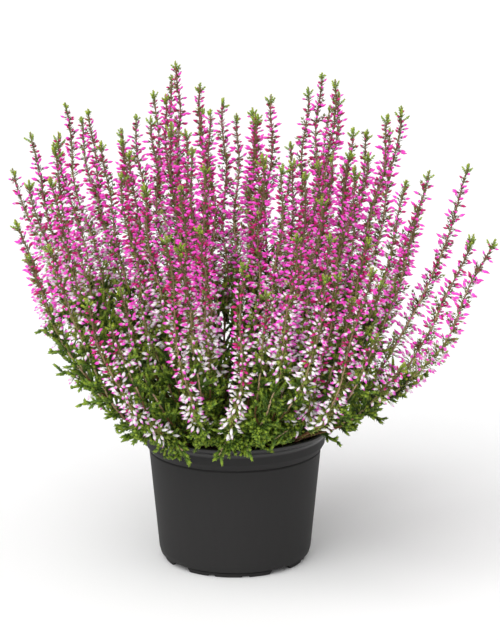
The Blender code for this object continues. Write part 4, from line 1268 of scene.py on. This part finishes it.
def flowers_start(rng, stem, low):
    """How far up a stem its flowers begin: higher in the middle of the bush and on its right."""
    path = stem.path
    if low:
        height = rng.uniform(*LOW_STARTS)
    else:
        height = np.interp(path.points[-1, 0] / MM, *FLOWER_STARTS)
        height += START_RISE_INSIDE * (1 - stem.outside) + rng.uniform(*START_FREEDOM)
    return min(path.length_at_height(height * MM), path.length - SHORTEST_FLOWERS)


def grow_shoot(name, number, materials, settings):
    """All stems of one shoot with their twigs, leaves and buds, as one piece."""
    rng = np.random.default_rng((SEED, number))
    flowers, leaves, stems = settings
    heap = Heap()
    for order, stem in enumerate(read_stems(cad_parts[name].data)):
        put_stem(heap, stem, stems)
        stem.pale_shift = rng.normal(-0.06, 0.08)
        if stem.leafy:
            put_sprig(heap, rng, stem, leaves)
            if number + 1 in FLOWERING_SPRIGS:
                stem.flowers = SPRIG_FLOWERS * stem.path.length
                put_flowers(heap, rng, stem, flowers, leaves)
        else:
            stem.flowers = flowers_start(rng, stem, order == 0 and number + 1 in LOW_FLOWERING)
            put_flowers(heap, rng, stem, flowers, leaves)
            put_leafy_shoots(heap, rng, stem, flowers, leaves)
            put_tuft(heap, rng, stem, leaves)
            put_stem_twigs(heap, rng, stem, leaves)
    piece = heap.make(name + "_plant", materials)
    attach(piece, "root")
    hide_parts(name)


def shown(name, mesh):
    """A new object in the scene with that mesh."""
    thing = bpy.data.objects.new(name, mesh)
    bpy.context.scene.collection.objects.link(thing)
    return thing


def rounded(corners):
    """A profile from corners of (radius, height, rounding), each corner turned into an arc."""
    points = []
    places = [np.array(corner[:2]) for corner in corners]
    for k, (_, _, rounding) in enumerate(corners):
        here = places[k]
        if not rounding:
            points.append(here)
            continue
        back = unit(places[k - 1] - here)
        ahead = unit(places[k + 1] - here)
        half = math.acos(np.clip(back.dot(ahead), -1, 1)) / 2
        reach = rounding / math.tan(half)
        start, end = here + back * reach, here + ahead * reach
        for share in np.linspace(0, 1, CORNER_STEPS + 1):
            rest = 1 - share
            points.append(rest**2 * start + 2 * share * rest * here + share**2 * end)
    return np.array(points)


def pot_profile():
    """The pot's section, from the middle of its floor over the lip and down to its underside."""
    floor = LEDGE + FLOOR_THICKNESS
    inner_bottom = WALL_BOTTOM_RADIUS - WALL_THICKNESS
    inner_top = WALL_TOP_RADIUS - WALL_THICKNESS
    inner_band = BAND_RADIUS - WALL_THICKNESS
    foot = FOOT_RADIUS - FOOT_THICKNESS
    small, large = 0.25 * MM, 0.8 * MM
    return rounded(
        (
            (0.0, floor, 0),
            (inner_bottom - 0.3 * MM, floor, large),
            (inner_top, WALL_TOP, large),
            (inner_band, BAND_BOTTOM + 1.0 * MM, large),
            (inner_band + 0.1 * MM, LIP_UNDERSIDE - 1.0 * MM, large),
            (LIP_RADIUS - 2.3 * MM, LIP_TOP, 0.9 * MM),
            (LIP_RADIUS, LIP_TOP, 1.0 * MM),
            (LIP_RADIUS - 0.5 * MM, LIP_TOP - 2.2 * MM, 0.5 * MM),
            (BAND_RADIUS + 1.2 * MM, LIP_UNDERSIDE + 0.9 * MM, 0.6 * MM),
            (BAND_RADIUS, LIP_UNDERSIDE - 1.4 * MM, 0.8 * MM),
            (BAND_RADIUS, BAND_BOTTOM, 1.0 * MM),
            (WALL_TOP_RADIUS + 0.5 * MM, WALL_TOP + 0.7 * MM, 0.3 * MM),
            (WALL_TOP_RADIUS - GROOVE, WALL_TOP, 0.2 * MM),
            (WALL_TOP_RADIUS - 0.05 * MM, WALL_TOP - 0.9 * MM, 0.3 * MM),
            (WALL_BOTTOM_RADIUS, WALL_BOTTOM, 1.2 * MM),
            (LEDGE_RADIUS + 0.1 * MM, LEDGE + 0.5 * MM, 0.35 * MM),
            (FOOT_RADIUS - GROOVE, LEDGE - 0.1 * MM, 0.15 * MM),
            (FOOT_RADIUS, LEDGE - 0.9 * MM, 0.2 * MM),
            (FOOT_RADIUS, 0.0, small),
            (foot, 0.0, small),
            (foot, LEDGE, small),
            (0.0, LEDGE, 0),
        )
    )


def foot_cuts():
    """The gaps and nicks of the foot ring: the middle's turn, the width, slope and height."""
    for gap in range(FOOT_GAPS):
        turn = FOOT_GAP_TURN + TAU * gap / FOOT_GAPS
        yield turn, FOOT_GAP_WIDTH, FOOT_GAP_SLOPE, LEDGE - 0.1 * MM
        for side in (-1, 1):
            middle = turn + TAU / FOOT_GAPS / 2 + side * FOOT_NICK_TURN
            yield middle, FOOT_NICK_WIDTH, FOOT_NICK_SLOPE, FOOT_NICK_HEIGHT


def foot_lift(turns):
    """The height of the foot's underside round the pot, raised by cuts with sloped sides."""
    lift = np.zeros(len(turns))
    for middle, width, slope, height in foot_cuts():
        off = np.abs((turns - middle + math.pi) % TAU - math.pi) * FOOT_RADIUS
        lift = np.maximum(lift, height * ramp(width / 2 - off, -slope / 2, slope))
    return lift


def pot_turns(segments):
    """Even steps round the pot, and a step at each edge of the foot's cuts."""
    turns = list(TAU * np.arange(segments) / segments)
    for middle, width, slope, _ in foot_cuts():
        for edge in (width / 2 - slope / 2, width / 2 + slope / 2):
            turns += [middle - edge / FOOT_RADIUS, middle + edge / FOOT_RADIUS]
    turns = np.sort(np.array(turns) % TAU)
    apart = np.diff(turns, append=turns[0] + TAU) > 1e-4
    return turns[apart]


def turned_mesh(name, turns, radii, heights, first, last):
    """A closed body round the middle axis: rings of points, and a point on the axis at each end.

    Radii has one ring's radius each, heights a row of the rings' heights for each turn.
    """
    x, y = np.cos(turns)[:, None] * radii, np.sin(turns)[:, None] * radii
    points = np.stack((x, y, heights), -1).reshape(-1, 3).tolist()
    points += [(0.0, 0.0, first), (0.0, 0.0, last)]
    wide, count = len(radii), len(turns)
    faces = []
    for k in range(count):
        here, there = k * wide, (k + 1) % count * wide
        faces.append((len(points) - 2, here, there))
        for row in range(wide - 1):
            faces.append((here + row, here + row + 1, there + row + 1, there + row))
        faces.append((len(points) - 1, there + wide - 1, here + wide - 1))
    mesh = bpy.data.meshes.new(name)
    mesh.from_pydata(points, [], faces)
    return mesh


def drain_cutters():
    """Rods through the floor, in one mesh."""
    rods = bmesh.new()
    size = {"radius1": DRAIN_RADIUS, "radius2": DRAIN_RADIUS, "depth": DRAIN_DEPTH}
    for hole in range(DRAIN_HOLES):
        turn = TAU * (hole + 0.5) / DRAIN_HOLES
        place = (DRAIN_CIRCLE * math.cos(turn), DRAIN_CIRCLE * math.sin(turn), LEDGE)
        made = bmesh.ops.create_cone(rods, cap_ends=True, segments=DRAIN_SEGMENTS, **size)
        bmesh.ops.translate(rods, verts=made["verts"], vec=place)
    mesh = bpy.data.meshes.new("drain_rods")
    rods.to_mesh(mesh)
    rods.free()
    return shown("drain_rods", mesh)


def make_pot(pot):
    """The moulded pot, with its drainage holes cut through its floor."""
    turns = pot_turns(pot.segments)
    profile = pot_profile()
    lift = foot_lift(turns)[:, None]
    radii, heights = profile[1:-1].T
    raised = lift + heights * (1 - lift / LEDGE)
    heights = np.where(heights < LEDGE - 0.05 * MM, raised, heights)
    mesh = turned_mesh("pot_moulding", turns, radii, heights, profile[0, 1], profile[-1, 1])
    thing = shown("pot_moulding", mesh)
    rods = drain_cutters()
    cut = thing.modifiers.new("drain", "BOOLEAN")
    cut.operation = "DIFFERENCE"
    cut.solver = "EXACT"
    cut.object = rods
    cut_thing = thing.evaluated_get(bpy.context.evaluated_depsgraph_get())
    thing.data = bpy.data.meshes.new_from_object(cut_thing)
    thing.modifiers.clear()
    bpy.data.objects.remove(rods)
    thing.data.shade_smooth()
    thing.data.set_sharp_from_angle(angle=SHARP_ANGLE)
    thing.data.materials.clear()
    thing.data.materials.append(pot_material(pot))
    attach(thing, "root")
    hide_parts("pot")


def soil_waves(rng):
    """Waves of several sizes, each as steps along x and y, phase and height."""
    waves = []
    for _ in range(SOIL_WAVES):
        length = rng.uniform(3, 22) * MM
        turn = rng.uniform(0, TAU)
        step = TAU / length
        size = 0.045 * length * rng.uniform(0.4, 1) * 0.35
        waves.append((step * math.cos(turn), step * math.sin(turn), rng.uniform(0, TAU), size))
    return waves


def soil_height(x, y, waves):
    """The crumbly top of the soil: a low mound with waves of several sizes on it."""
    height = SOIL_HIGH.z - SOIL_FALL * ramp(np.hypot(x, y), SOIL_FLAT, SOIL_HIGH.x - SOIL_FLAT)
    for wave_x, wave_y, phase, size in waves:
        height = height + size * np.sin(x * wave_x + y * wave_y + phase)
    return height


def make_soil(soil):
    """A closed crumbly body of soil inside the pot, with loose crumbs on it."""
    rng = np.random.default_rng(SEED)
    waves = soil_waves(rng)
    edge = SOIL_HIGH.x - 0.1 * MM
    radii = edge * (np.arange(1, SOIL_RINGS + 1) / SOIL_RINGS)
    turns = TAU * np.arange(SOIL_SEGMENTS) / SOIL_SEGMENTS
    top = soil_height(radii[:, None] * np.cos(turns), radii[:, None] * np.sin(turns), waves)
    top = top + rng.normal(0, SOIL_GRAIN, top.shape)
    floor = LEDGE + FLOOR_THICKNESS + 0.3 * MM
    wall_top, wall_bottom = WALL_TOP_RADIUS - WALL_THICKNESS, WALL_BOTTOM_RADIUS - WALL_THICKNESS
    radii = np.append(radii, (edge, wall_top - 0.3 * MM, wall_bottom - 0.6 * MM))
    side = np.tile((BAND_BOTTOM + 1.2 * MM, WALL_TOP, floor), (SOIL_SEGMENTS, 1))
    middle = float(soil_height(0.0, 0.0, waves))
    mesh = turned_mesh("peat_soil", turns, radii, np.hstack((top.T, side)), middle, floor)
    mesh.shade_smooth()
    body = bmesh.new()
    body.from_mesh(mesh)
    add_crumbs(body, rng, soil, waves, edge)
    body.to_mesh(mesh)
    body.free()
    thing = shown("peat_soil", mesh)
    thing.data.materials.append(soil_material(soil))
    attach(thing, "root")
    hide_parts("soil")


def add_crumbs(body, rng, soil, waves, edge):
    """Loose crumbs: small uneven lumps pressed into the soil's top."""
    for _ in range(soil.crumbs):
        radius = (edge - 1.5 * MM) * math.sqrt(rng.random())
        turn = rng.uniform(0, TAU)
        x, y = radius * math.cos(turn), radius * math.sin(turn)
        size = soil.crumb * rng.lognormal(-0.25, 0.35)
        place = np.array((x, y, float(soil_height(x, y, waves)) + 0.1 * size))
        made = bmesh.ops.create_icosphere(body, subdivisions=1, radius=size / 2)
        stretch = rng.uniform(0.6, 1.3, 3)
        for vert in made["verts"]:
            vert.co = place + np.array(vert.co) * (stretch * rng.uniform(0.8, 1.2, 3))


def make_floor(stage):
    """A wide plain floor just under the pot's foot."""
    corners = [(FLOOR_HALF * x, FLOOR_HALF * y, -0.1 * MM) for x, y in FLOOR_CORNERS]
    mesh = bpy.data.meshes.new("studio_floor")
    mesh.from_pydata(corners, [], [(0, 1, 2, 3)])
    floor = shown("studio_floor", mesh)
    mesh.materials.append(floor_material(stage))


def make_camera():
    """The photograph's view: level with the bush, looking slightly down."""
    camera = bpy.data.objects.new("camera", bpy.data.cameras.new("camera"))
    camera.data.lens = VIEW_LENS
    camera.data.sensor_width = SENSOR_WIDTH
    camera.data.clip_end = 100.0
    away = np.array((0.0, -math.cos(VIEW_RISE), math.sin(VIEW_RISE)))
    camera.location = VIEW_TARGET + VIEW_DISTANCE * away
    camera.rotation_euler = (math.pi / 2 - VIEW_RISE, 0.0, 0.0)
    bpy.context.scene.collection.objects.link(camera)
    bpy.context.scene.camera = camera


def make_light(name, strength, softness, tilt, turn):
    """A broad soft light, even over the whole stage, its angles in degrees."""
    light = bpy.data.lights.new(name, "SUN")
    light.energy = strength
    light.angle = math.radians(softness)
    thing = bpy.data.objects.new(name, light)
    thing.rotation_euler = (math.radians(tilt), 0.0, math.radians(turn))
    bpy.context.scene.collection.objects.link(thing)


def make_surroundings(strength):
    """Even white light from all round."""
    scene = bpy.context.scene
    scene.world = bpy.data.worlds.new("studio")
    scene.world.use_nodes = True
    background = scene.world.node_tree.nodes["Background"]
    background.inputs["Color"].default_value = (1.0, 1.0, 1.0, 1.0)
    background.inputs["Strength"].default_value = strength


class HEATHER_OT_stage(bpy.types.Operator):
    """Makes the camera, the soft lights and the pale floor"""

    bl_idname = "heather.stage"
    bl_label = "Stage"

    def execute(self, context):
        stage = context.scene.heather_stage
        context.scene.view_settings.view_transform = "Standard"
        make_camera()
        make_surroundings(stage.surroundings)
        make_light("key", stage.key, softness=66.0, tilt=46.0, turn=-32.0)
        make_light("fill", stage.fill, softness=80.0, tilt=58.0, turn=48.0)
        make_floor(stage)
        return {"FINISHED"}


class HEATHER_OT_pot(bpy.types.Operator):
    """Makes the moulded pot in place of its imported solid"""

    bl_idname = "heather.pot"
    bl_label = "Pot"

    def execute(self, context):
        make_pot(context.scene.heather_pot)
        return {"FINISHED"}


class HEATHER_OT_soil(bpy.types.Operator):
    """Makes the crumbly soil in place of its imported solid"""

    bl_idname = "heather.soil"
    bl_label = "Soil"

    def execute(self, context):
        make_soil(context.scene.heather_soil)
        return {"FINISHED"}


class HEATHER_OT_shoots(bpy.types.Operator):
    """Grows bark, leaves, buds and tips on every packed shoot"""

    bl_idname = "heather.shoots"
    bl_label = "Shoots"

    def execute(self, context):
        scene = context.scene
        settings = (scene.heather_flowers, scene.heather_leaves, scene.heather_stems)
        materials = (
            bud_material(scene.heather_flowers),
            leaf_material(scene.heather_leaves, scene.heather_flowers),
            bark_material(scene.heather_stems),
        )
        for number, name in enumerate(SHOOTS):
            grow_shoot(name, number, materials, settings)
        return {"FINISHED"}


OPERATORS = (HEATHER_OT_stage, HEATHER_OT_pot, HEATHER_OT_soil, HEATHER_OT_shoots)


class HEATHER_PT_sidebar(bpy.types.Panel):
    """Lists the pieces of the potted heather and what can be changed about them"""

    bl_idname = "HEATHER_PT_sidebar"
    bl_label = "Potted Heather"
    bl_space_type = "VIEW_3D"
    bl_region_type = "UI"
    bl_category = "Heather"

    def draw(self, context):
        for operator in OPERATORS:
            self.layout.operator(operator.bl_idname)
        for name, group in GROUPS.items():
            box = self.layout.box()
            settings = getattr(context.scene, name)
            for field in group.__annotations__:
                box.prop(settings, field)


CLASSES = (*GROUPS.values(), *OPERATORS, HEATHER_PT_sidebar)


def register():
    """Adds the operators, the sidebar panel and the settings."""
    for made in CLASSES:
        bpy.utils.register_class(made)
    for name, group in GROUPS.items():
        setattr(bpy.types.Scene, name, PointerProperty(type=group))


def unregister():
    """Takes away what register adds."""
    for name in GROUPS:
        delattr(bpy.types.Scene, name)
    for made in reversed(CLASSES):
        bpy.utils.unregister_class(made)


def main():
    """Makes the stage and every piece."""
    register()
    bpy.ops.heather.stage()
    bpy.ops.heather.pot()
    bpy.ops.heather.soil()
    bpy.ops.heather.shoots()


if __name__ == "__main__":
    main()
